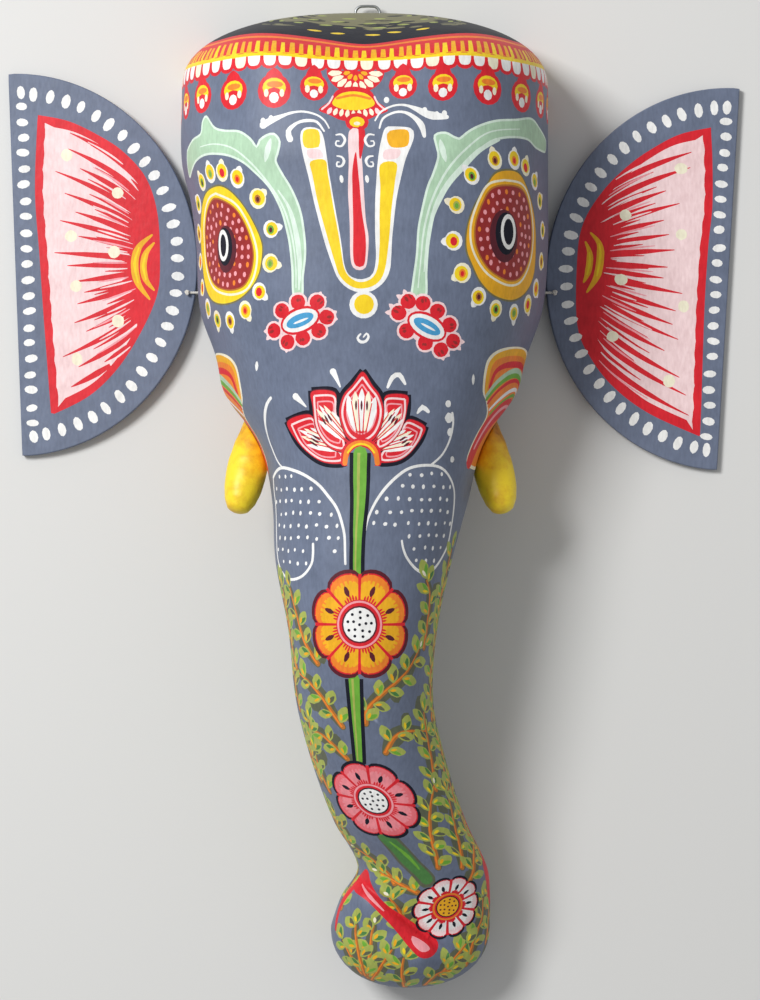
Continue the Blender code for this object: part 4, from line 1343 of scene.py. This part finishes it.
def addInside(mesh):
    # the wall's inner face, cut off level with the back, and the flat rim between the two
    form = headForm
    inner = Skin(form["wall"], form["boreEnd"], form["boreRounding"], 2)
    shape = chartGrid(inner, 90, 72)
    bmesh.ops.bisect_plane(shape, geom=shape.verts[:] + shape.edges[:] + shape.faces[:], plane_co=(0, 0, 0),
        plane_no=(0, 0, 1), clear_inner=True)
    bmesh.ops.recalc_face_normals(shape, faces=shape.faces)
    bmesh.ops.reverse_faces(shape, faces=shape.faces)
    for facet in shape.faces:
        facet.material_index = len(paints)
        facet.smooth = True
    holder = bpy.data.meshes.new("head_inside")
    shape.to_mesh(holder)
    shape.free()
    shape = bmesh.new()
    shape.from_mesh(mesh)
    for facet in shape.faces:
        facet.smooth = True
    shape.from_mesh(holder)
    rim = [edge for edge in shape.edges if edge.is_boundary]
    rim = [edge for edge in rim if max(abs(v.co.z) for v in edge.verts) < 1 * mm]
    for edge in rim:
        for vert in edge.verts:
            vert.co.z = 0
    flat = bmesh.ops.triangle_fill(shape, use_beauty=True, edges=rim)["geom"]
    layer = shape.loops.layers.uv["OFBake"]
    for facet in [item for item in flat if isinstance(item, bmesh.types.BMFace)]:
        facet.material_index = len(paints) + 1
        if facet.normal.z > 0:
            facet.normal_flip()
        for loop in facet.loops:
            loop[layer].uv = (0.12 + 0.5 * loop.vert.co.x, 0.13 + 0.5 * loop.vert.co.y)
    bmesh.ops.dissolve_degenerate(shape, edges=shape.edges, dist=0.002 * mm)
    bmesh.ops.recalc_face_normals(shape, faces=shape.faces)
    for edge in shape.edges:
        kinds = {item.material_index == len(paints) + 1 for item in edge.link_faces}
        if len(edge.link_faces) == 2 and len(kinds) == 2:
            edge.smooth = False
    print("Whole head:", len(shape.faces), "faces")
    shape.to_mesh(mesh)
    shape.free()


print("Making the head")
shape, mesh = makeHead()
print("Painted skin:", len(shape.faces), "faces")
shape.to_mesh(mesh)
shape.free()
for material in paints + [rawPaper, rimPaper]:
    mesh.materials.append(material)
addInside(mesh)
head = linked("maskHead", mesh)
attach(head, "root")
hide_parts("head")

# The ears

earForm = {
    "length": 161 * mm,
    "reach": 77 * mm,
    "thickness": 3.4 * mm,
    "rounding": 0.5 * mm,
    "gap": 1.6 * mm,
    "lift": 4.6 * mm,
    "down": {-1: 104 * mm, 1: 110 * mm},
    "lean": {-1: math.radians(2.1), 1: math.radians(-3.4)},
    "arcSteps": 90,
    "edgeSteps": 60,
    "grid": 5,
    "mapSpan": 165,
}
tieForm = {
    "down": 116 * mm,
    "edge": 3.4 * mm,
    "low": 2.6 * mm,
    "rise": 6.3 * mm,
    "thread": 0.55 * mm,
    "corner": 1.1 * mm,
    "knot": 1.3 * mm,
    "hole": 0.9 * mm,
    "plies": 3,
    "twists": 14,
    "step": 0.22 * mm,
    "plyReach": 0.26 * mm,
    "ply": 0.27 * mm,
    "knotSize": 0.28 * mm,
    "knotThread": 0.36 * mm,
}
loopForm = {"corner": 3.2 * mm, "step": 0.4 * mm, "bends": ((0.02, 700), (0.01, 900))}


def sideAt(down, height, inset, side):
    left, right, back, wide, front, square = stationAt(np.array(down / headForm["length"]))
    half, depth = headForm["width"] / 2, headForm["depth"]
    middle, reach = (left + right) / 2 * half, (right - left) / 2 * half - inset
    back, wide, front = back * depth + inset, wide * depth, front * depth - inset
    share = abs(height - wide) / (front - wide if height > wide else wide - back)
    return float(middle + side * reach * (1 - min(share, 1) ** square) ** (1 / square))


def earPlace(side):
    form = earForm
    tilt = math.asin(form["lift"] / form["reach"])
    rim = sideAt(form["down"][side], form["lift"] + form["thickness"], 0, side)
    spot = Vector((rim + side * (form["gap"] + form["reach"] * math.cos(tilt)), -form["down"][side],
        form["thickness"] / 2 * math.cos(tilt)))
    turn = Euler((0, -tilt, form["lean"][side] + (0 if side < 0 else math.pi))).to_matrix().to_4x4()
    return Matrix.Translation(spot) @ turn


def makeEar(side):
    place = earPlace(side)
    back = place.inverted()
    start = back @ eye
    form = earForm

    def onEar(*pixels):
        spots = []
        for px, py in pixels:
            run = back.to_3x3() @ photoRay(px, py)
            far = (form["thickness"] / 2 - start.z) / run.z
            spots.append(((start.x + run.x * far) / mm, (start.y + run.y * far) / mm))
        return spots

    board = Picture()
    paintEar(board, onEar, side)
    length, reach, soft = form["length"] / 2 / mm, form["reach"] / mm, form["rounding"] / mm
    turns = [math.pi * (k / form["arcSteps"] - 0.5) for k in range(form["arcSteps"] + 1)]
    arc = [((reach - soft) * math.cos(t), (length - soft) * math.sin(t)) for t in turns]
    arc = [(max(x, soft), y) for x, y in arc]
    count = form["edgeSteps"]
    straight = [(soft, (length - soft) * (1 - 2 * k / count)) for k in range(1, count)]
    border = arc + straight
    edge = placeOfTie(side)
    bore, turns = tieForm["hole"] / mm, np.linspace(0, 2 * math.pi, 13)[:-1]
    hole = [(edge[0] + bore * math.cos(a), edge[1] + bore * math.sin(a)) for a in turns]
    xs, ys = np.arange(3, reach, form["grid"]), np.arange(-length, length, form["grid"])
    extra = [(x, y) for x in xs for y in ys if (x / (reach - 3)) ** 2 + (y / (length - 3)) ** 2 < 1]
    chart, triangles, worn = board.mesh(border, [hole], extra)
    name = "ear_left" if side < 0 else "ear_right"
    mesh = bpy.data.meshes.new(name)
    mesh.from_pydata([(x * mm, y * mm, form["thickness"] / 2) for x, y in chart], [], triangles)
    mesh.polygons.foreach_set("material_index", worn.astype(np.int32))
    shape = bmesh.new()
    shape.from_mesh(mesh)
    bmesh.ops.remove_doubles(shape, verts=shape.verts, dist=0.002 * mm)
    loose = [v for v in shape.verts if not v.link_faces]
    bmesh.ops.delete(shape, geom=loose, context="VERTS")
    rim = [e for e in shape.edges if e.is_boundary]
    # round the board's edge: how far out and how far down each step of it goes
    steps = ((0.35, 0.15), (0.15, 0.35), (0.0, form["thickness"] / mm - 1.0), (-0.15, 0.35), (-0.35, 0.15))
    for out, down in steps:
        added = bmesh.ops.extrude_edge_only(shape, edges=rim)["geom"]
        rim = [item for item in added if isinstance(item, bmesh.types.BMEdge) and item.is_boundary]
        for vert in {v for e in rim for v in e.verts}:
            spot = Vector((vert.co.x / reach**2, vert.co.y / length**2, 0))
            if vert.co.x < 1.2 * mm:
                atCorner = abs(vert.co.y) > (length - 1.5) * mm
                spot = Vector((-1, math.copysign(0.6, vert.co.y) if atCorner else 0, 0))
            if math.hypot(vert.co.x / mm - edge[0], vert.co.y / mm - edge[1]) < 2:
                spot = Vector((0, 0, 0))
            vert.co += (spot.normalized() if spot.length else spot) * out * mm
            vert.co.z -= down * mm
    bmesh.ops.triangle_fill(shape, use_beauty=True, edges=rim)
    bmesh.ops.recalc_face_normals(shape, faces=shape.faces)
    layer = shape.loops.layers.uv.new("OFBake")
    for facet in shape.faces:
        facet.smooth = abs(facet.normal.z) < 0.999
        shift = 0.0 if facet.normal.z > 0.3 else 0.5
        for loop in facet.loops:
            x, y = loop.vert.co.x / mm / form["mapSpan"], loop.vert.co.y / mm / form["mapSpan"]
            loop[layer].uv = (0.01 + shift + x, 0.5 + y)
    shape.transform(Matrix.Translation(maskMiddle) @ place)
    shape.to_mesh(mesh)
    shape.free()
    for material in paints:
        mesh.materials.append(material)
    item = linked(name.replace("_", "Board_"), mesh)
    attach(item, "root")
    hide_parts(name)


def placeOfTie(side):
    # the tie's hole in the ear, in the board's own millimetres
    place = earPlace(side)
    spot = place.translation
    tilt = math.asin(earForm["lift"] / earForm["reach"])
    off = (-tieForm["down"] - spot.y) / (earForm["length"] / 2)
    edge = spot.x - side * earForm["reach"] * math.cos(tilt) * math.sqrt(1 - off**2)
    point = place.inverted() @ Vector((edge + side * tieForm["edge"], -tieForm["down"],
        tieForm["low"] + 4 * mm))
    return point.x / mm, point.y / mm


# pixels of the photo on each ear: its painted bow and straight edge, where the brush lines
# start, the two arcs round that and the dots
earMarks = {
    -1: {
        "bow": ((38, 115), (68, 121), (97, 134.5), (123, 151.5), (146, 178), (157.5, 214), (160, 262),
            (157, 295), (141, 332), (117.6, 368.5), (89, 396), (52, 415)),
        "edge": ((51, 413), (47, 361), (43, 308), (39.5, 256), (35, 191), (37.5, 118)),
        "focus": (158, 266),
        "arcs": (((152, 235), (139, 247), (134.6, 264), (138, 283), (149.5, 299)),
            ((154, 243), (146, 253), (143.3, 266.5), (146, 280), (154, 290))),
        "dots": ((66.7, 155), (117.6, 193), (71, 236), (114, 252), (76, 286), (118, 321), (77, 359)),
    },
    1: {
        "bow": ((711, 127.5), (681, 134), (655, 147), (629, 165), (602.5, 191.5), (583, 224), (577, 262),
            (577.5, 326), (592, 360), (615.6, 389), (650, 414), (701, 437)),
        "edge": ((700, 436), (701.4, 402), (703, 350), (705, 297), (708.4, 245), (712.4, 206), (712.4, 161),
            (711, 130)),
        "focus": (578, 264),
        "arcs": (((590.8, 233), (599, 243), (600.4, 256), (597, 276), (587, 292)),
            ((585.5, 242), (589.5, 252), (589.5, 264), (587, 275), (583.7, 282))),
        "dots": ((681, 168.6), (625.5, 215), (681.5, 234.5), (621, 279.5), (683.6, 306.4), (612.5, 336.5),
            (669, 381)),
    },
}


def paintEar(board, onEar, side):
    reach, length = earForm["reach"] / mm, earForm["length"] / 2 / mm
    marks = earMarks[side]
    bow, edge, dots = (onEar(*marks[name]) for name in ("bow", "edge", "dots"))
    focus = onEar(marks["focus"])[0]
    arcs = [onEar(*arc) for arc in marks["arcs"]]
    outline = smooth(bow, 2.0, False)[:-1] + smooth(edge, 2.0, False)[:-1]
    board.lay("red", outline)
    middle = centreOf(bow)
    rim = smooth(edge, 1.2, False)
    scallops = []
    for k, (x, y) in enumerate(rim[3:-3]):
        away = 3.1 + 0.5 * abs(math.sin(k * 0.42)) + uniform(-0.1, 0.1)
        scallops.append((x + away * (1 if x < focus[0] else -1), y))
    hem = [(x + (middle[0] - x) * 0.13, y + (middle[1] - y) * 0.085) for x,
        y in smooth(bow, 2.0, False)[2:-2]]
    board.lay("blush", hem + scallops)
    # brush lines run from the focus and turn level before the far edge

    def line(share, first, last, paint, widths):
        end = between(edge[0], edge[-1], share)
        spread = (end[1] - focus[1]) * 0.16
        path = []
        for t in np.linspace(first, last, 7):
            rise = t ** (0.66 - 0.32 * (2 * share - 1) ** 2)
            path.append((focus[0] + (end[0] - focus[0]) * t,
                focus[1] + spread + (end[1] - focus[1] - spread) * rise))
        path = [spot for spot in path if isInside(spot, outline) and clear(spot, outline,
            widths[1] / 2 + 0.3)]
        if len(path) > 1:
            board.stroke(paint, path, widths, 2.0, False)

    for k in range(50):
        share = (k + uniform(-0.25, 0.25)) / 49
        edgeward = 0.45 * abs(2 * share - 1) ** 1.5
        line(share, 0.03, uniform(0.24, 0.38) * (1 - edgeward), "red", (3.4, 2.6, 0.4))
    for k in range(19):
        share = (k + uniform(-0.2, 0.2)) / 18
        line(share, 0.10, uniform(0.64, 0.92), "red", (1.6, 2.7, 2.0, 0.3))
    for k in range(18):
        share = (k + 0.5 + uniform(-0.2, 0.2)) / 18
        line(share, 0.10, uniform(0.44, 0.60), "red", (1.4, 1.8, 0.3))
    for k in range(20):
        share = (k + 0.5 + uniform(-0.3, 0.3)) / 20
        line(share, uniform(0.20, 0.28), uniform(0.46, 0.60), "blush" if k % 2 else "pink",
            (0.3, 0.8, 0.8, 0.3))
    for ring, wide in zip(arcs, (3.2, 2.8)):
        board.stroke("amber", ring, (0.8, wide, wide, 0.8))
        board.stroke("yellow", ring[1:-1], (0.5, 1.2, 0.5))
    for x, y in dots:
        board.blob("cream", (x, y), uniform(2.3, 2.9), uniform(2.2, 2.8), count=12, wobble=0.06)
    count = 31
    for k in range(count):
        t = math.pi * ((k + 0.5) / count - 0.5)
        x, y = (reach - 8.2) * math.cos(t), (length - 8.2) * math.sin(t)
        slope = math.degrees(math.atan2(math.sin(t) / length, math.cos(t) / reach)) + uniform(-7, 7)
        spot = (max(x, 5) + uniform(-0.3, 0.3), y + uniform(-0.3, 0.3))
        board.blob("white", spot, uniform(2.7, 3.2), uniform(1.6, 1.95), slope, 10, 0.05)
    count = 21
    for k in range(count):
        spot = (uniform(4.6, 5.6), (length - 14) * (1 - 2 * k / (count - 1)) + uniform(-0.6, 0.6))
        board.blob("white", spot, uniform(2.4, 2.9), uniform(1.45, 1.8), uniform(-10, 10), 10, 0.05)


print("Making the ears")
makeEar(-1)
makeEar(1)

# The tusks

tuskForm = {
    "length": 50 * mm,
    "radius": 8.0 * mm,
    "sink": 10.9 * mm,
    "down": 162 * mm,
    "height": 29 * mm,
    "run": (0.20, -0.92, 0.34),
    # how strongly each tusk darkens to ochre towards its root: ochre undercoat and painted shade, the right
    # tusk's larger share being painted shade
    "wear": {-1: 0.25, 1: 0.55},
    "shares": (0, 0.12, 0.25, 0.4, 0.55, 0.68, 0.8, 0.9, 0.97, 0.99, 1.0),
    "swell": (0.42, 0.58, 0.76, 0.92, 1.02, 1.03, 0.95, 0.80, 0.56, 0.38, 0.12),
    "segments": 40,
    "rings": 47,
    "folds": 0.018,
    "ridges": 0.012,
    "clearance": 0.3,
    "headMiddle": 45 * mm,
}


def makeTusk(side):
    form = tuskForm
    name = "tusk_left" if side < 0 else "tusk_right"
    run = Vector((side * form["run"][0], form["run"][1], form["run"][2])).normalized()
    root = Vector((sideAt(form["down"], form["height"], 0, side) - side * form["sink"], -form["down"],
        form["height"]))
    shape = bmesh.new()
    bmesh.ops.create_cone(shape, cap_ends=True, segments=form["segments"], radius1=1, radius2=1, depth=1)
    sides = [e for e in shape.edges if abs(e.verts[0].co.z - e.verts[1].co.z) > 0.5]
    bmesh.ops.subdivide_edges(shape, edges=sides, cuts=form["rings"], use_grid_fill=True)
    turn = run.to_track_quat("Z", "Y").to_matrix()
    for vert in shape.verts:
        share = vert.co.z + 0.5
        share = 1 - (1 - share) ** 1.25
        angle = math.atan2(vert.co.y, vert.co.x)
        swell = float(np.interp(share, form["shares"], form["swell"]))
        wrinkle = 1 + form["folds"] * math.sin(share * 34 + 1.3 * math.sin(angle)) * (1 - share)
        wrinkle = wrinkle + form["ridges"] * math.sin(3 * angle + share * 9)
        radius = form["radius"] * swell * min(wrinkle, 1.02)
        spot = turn @ Vector((radius * math.cos(angle), radius * math.sin(angle), share * form["length"]))
        spot += root
        hit, normal, index, far = faceTree.find_nearest(spot)
        out = Vector(hit) - Vector((0, hit.y, form["headMiddle"]))
        if normal.dot(out) < 0:
            normal = -normal
        if (spot - hit).dot(normal) < form["clearance"] * mm:
            spot = hit + normal * form["clearance"] * mm
        vert.co = spot + maskMiddle
    bmesh.ops.remove_doubles(shape, verts=shape.verts, dist=0.05 * mm)
    bmesh.ops.recalc_face_normals(shape, faces=shape.faces)
    for facet in shape.faces:
        facet.smooth = True
    mesh = bpy.data.meshes.new(name)
    shape.to_mesh(mesh)
    shape.free()
    mesh.materials.append(tuskPaint(root + maskMiddle, name, form["wear"][side]))
    item = linked(name.replace("_", "Cone_"), mesh)
    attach(item, "root")
    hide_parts(name)


def tuskPaint(root, name, wear):
    # yellow over rolled paper, the ochre undercoat showing in patches; towards the root it darkens to
    # ochre, as undercoat and painted shade, and the right tusk's stronger darkening is painted shade
    material, tree, shader = newMaterial(f"Yellow poster colour on {name}")
    place = addNode(tree, "ShaderNodeTexCoord").outputs["Object"]
    far = addNode(tree, "ShaderNodeVectorMath", {"operation": "DISTANCE", 1: tuple(root)}, {0: place})
    # darker towards the root: ochre undercoat and painted shade where the tusk meets the face
    spread = {"From Min": 8 * mm, "From Max": 34 * mm, "To Min": wear, "To Max": 0.0}
    near = addNode(tree, "ShaderNodeMapRange", spread, {"Value": far.outputs["Value"]})
    patch = noise(tree, place, 110.0, 5.0, 0.65)
    total = addNode(tree, "ShaderNodeMath", {"operation": "ADD"}, {0: near.outputs[0], 1: patch})
    stops = ((0.5, linear("#ffe02c")), (0.76, linear("#e3ae1e")), (1.05, linear("#a8701c")))
    tint(tree, shader, total.outputs[0], *stops)
    shader.inputs["Roughness"].default_value = 0.45
    roughen(tree, shader, noise(tree, place, 220.0, 5.0), 0.6, 0.6 * mm)
    return material


print("Making the tusks")
makeTusk(-1)
makeTusk(1)


def tube(path, radius, sides):
    # a closed tube along a path, in metres
    curve = bpy.data.curves.new("tube", "CURVE")
    curve.dimensions = "3D"
    curve.bevel_depth = radius
    curve.bevel_resolution = sides
    spline = curve.splines.new("POLY")
    spline.points.add(len(path) - 1)
    for point, spot in zip(spline.points, path):
        point.co = (*spot, 1)
    spline.use_cyclic_u = True
    spline.use_smooth = True
    holder = linked("tube", curve)
    mesh = bpy.data.meshes.new_from_object(holder.evaluated_get(bpy.context.evaluated_depsgraph_get()))
    bpy.data.objects.remove(holder, do_unlink=True)
    bpy.data.curves.remove(curve)
    return mesh


def roundedLoop(wide, tall, corner, step):
    # a rounded rectangle about the origin, as points a step apart, with the way along each
    spots = []
    for k, (cx, cy) in enumerate(((1, 1), (-1, 1), (-1, -1), (1, -1))):
        for i in range(7):
            angle = math.pi / 2 * (k + i / 6)
            spots.append((cx * (wide / 2 - corner) + corner * math.cos(angle),
                cy * (tall / 2 - corner) + corner * math.sin(angle)))
    path = []
    for (ax, ay), (bx, by) in zip(spots, spots[1:] + spots[:1]):
        parts = max(int(math.hypot(bx - ax, by - ay) / step), 1)
        path += [(ax + (bx - ax) * i / parts, ay + (by - ay) * i / parts) for i in range(parts)]
    return path


def joined(name, meshes, material):
    shape = bmesh.new()
    for mesh in meshes:
        shape.from_mesh(mesh)
    bmesh.ops.recalc_face_normals(shape, faces=shape.faces)
    for item in shape.faces:
        item.smooth = True
        item.material_index = 0
    mesh = bpy.data.meshes.new(name)
    shape.to_mesh(mesh)
    shape.free()
    mesh.materials.append(material)
    parts = name.split("_")
    piece = linked(parts[0] + "".join(part.capitalize() for part in parts[1:]) + "Piece", mesh)
    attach(piece, "root")
    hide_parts(name)


def threadMaterial():
    material, tree, shader = newMaterial("White cotton thread, twisted from three plies")
    place = addNode(tree, "ShaderNodeTexCoord").outputs["Object"]
    fuzz = noise(tree, place, 4000.0, 4.0)
    tint(tree, shader, fuzz, (0.0, linear("#bdb8ad")), (1.0, linear("#f2efe8")))
    shader.inputs["Roughness"].default_value = 0.9
    roughen(tree, shader, fuzz, 0.5, 0.1 * mm)
    return material


def wireMaterial():
    material, tree, shader = newMaterial("Galvanised steel wire, drawn and bent")
    place = addNode(tree, "ShaderNodeTexCoord").outputs["Object"]
    spangle = noise(tree, place, 900.0, 4.0)
    tint(tree, shader, spangle, (0.0, linear("#7d8082")), (1.0, linear("#b9bcbc")))
    dull(tree, shader, spangle, 0.28, 0.55)
    shader.inputs["Metallic"].default_value = 1.0
    return material


def makeTie(side, material):
    # three plies twisted round the way of the thread, and a small knot over the ear
    name = "tie_left" if side < 0 else "tie_right"
    low, high = (Vector(corner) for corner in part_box(name))
    thread, knot, rise = tieForm["thread"], tieForm["knot"], tieForm["rise"]
    reach = (low.x + knot, high.x - thread) if side < 0 else (low.x + thread, high.x - knot)
    middle = Vector(((reach[0] + reach[1]) / 2, (low.y + high.y) / 2, low.z + thread + rise / 2))
    path = roundedLoop(reach[1] - reach[0], rise, tieForm["corner"], tieForm["step"])
    meshes = []
    for ply in range(tieForm["plies"]):
        spots = []
        for k, (x, z) in enumerate(path):
            bx, bz = path[(k + 1) % len(path)]
            run = Vector((bx - x, 0, bz - z)).normalized()
            angle = 2 * math.pi * (tieForm["twists"] * k / len(path) + ply / tieForm["plies"])
            off = Vector((0, 1, 0)) * math.cos(angle) + run.cross(Vector((0, 1, 0))) * math.sin(angle)
            spots.append(middle + Vector((x, 0, z)) + off * tieForm["plyReach"])
        meshes.append(tube(spots, tieForm["ply"], 2))
    centre = Vector((reach[0] if side < 0 else reach[1], middle.y, high.z - knot))
    for turn in (0, 1):
        spots = []
        for k in range(60):
            a = 2 * math.pi * k / 60
            x, y = math.sin(a) + 2 * math.sin(2 * a), math.cos(a) - 2 * math.cos(2 * a)
            spot = Vector((x, y, -math.sin(3 * a) * 1.6)) * tieForm["knotSize"]
            spots.append(centre + (spot if turn == 0 else Vector((spot.z * 0.9, spot.x, spot.y * 0.9))))
        meshes.append(tube(spots, tieForm["knotThread"], 2))
    joined(name, meshes, material)


def makeLoop():
    # bent by hand, so that its sides aren't quite straight
    low, high = (Vector(corner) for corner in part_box("hanging_loop"))
    wire = (high.z - low.z) / 2
    middle = (low + high) / 2
    wide, tall = high.x - low.x - 2 * wire, high.y - low.y - 2 * wire
    spots = []
    (bendAcross, wavesAcross), (bendDown, wavesDown) = loopForm["bends"]
    for x, y in roundedLoop(wide, tall, loopForm["corner"], loopForm["step"]):
        across, down = math.sin(y * wavesAcross) ** 2, math.sin(x * wavesDown) ** 2
        spots.append(middle + Vector((x * (1 - bendAcross * across), y * (1 - bendDown * down), 0)))
    joined("hanging_loop", [tube(spots, wire, 6)], wireMaterial())


print("Making the loop and the ties")
cotton = threadMaterial()
makeTie(-1, cotton)
makeTie(1, cotton)
makeLoop()

makeStage()
bpy.ops.mesh.primitive_plane_add(size=4, location=(0, 0, 0))
floor = bpy.context.object
floorPaint, tree, shader = newMaterial("Whitewashed floor")
shader.inputs["Base Color"].default_value = linear("#dcdcda")
shader.inputs["Roughness"].default_value = 0.7
floor.data.materials.append(floorPaint)
# each light: its name, place and size in metres, and its power in watts
lights = (("key", (-0.85, 0.65, 1.35), 0.5, 24), ("fill", (0.9, -0.3, 1.5), 1.5, 0.5))
for name, place, size, power in lights:
    lamp = bpy.data.lights.new(name, "AREA")
    lamp.size = size
    lamp.energy = power
    item = linked(name, lamp)
    item.location = place
    item.rotation_euler = (-Vector(place)).to_track_quat("-Z", "Y").to_euler()
world = bpy.data.worlds.new("soft daylight")
bpy.context.scene.world = world
world.use_nodes = True
sky = world.node_tree.nodes["Background"]
sky.inputs["Color"].default_value = (1, 1, 1, 1)
sky.inputs["Strength"].default_value = 0.36
bpy.context.scene.view_settings.view_transform = "Standard"
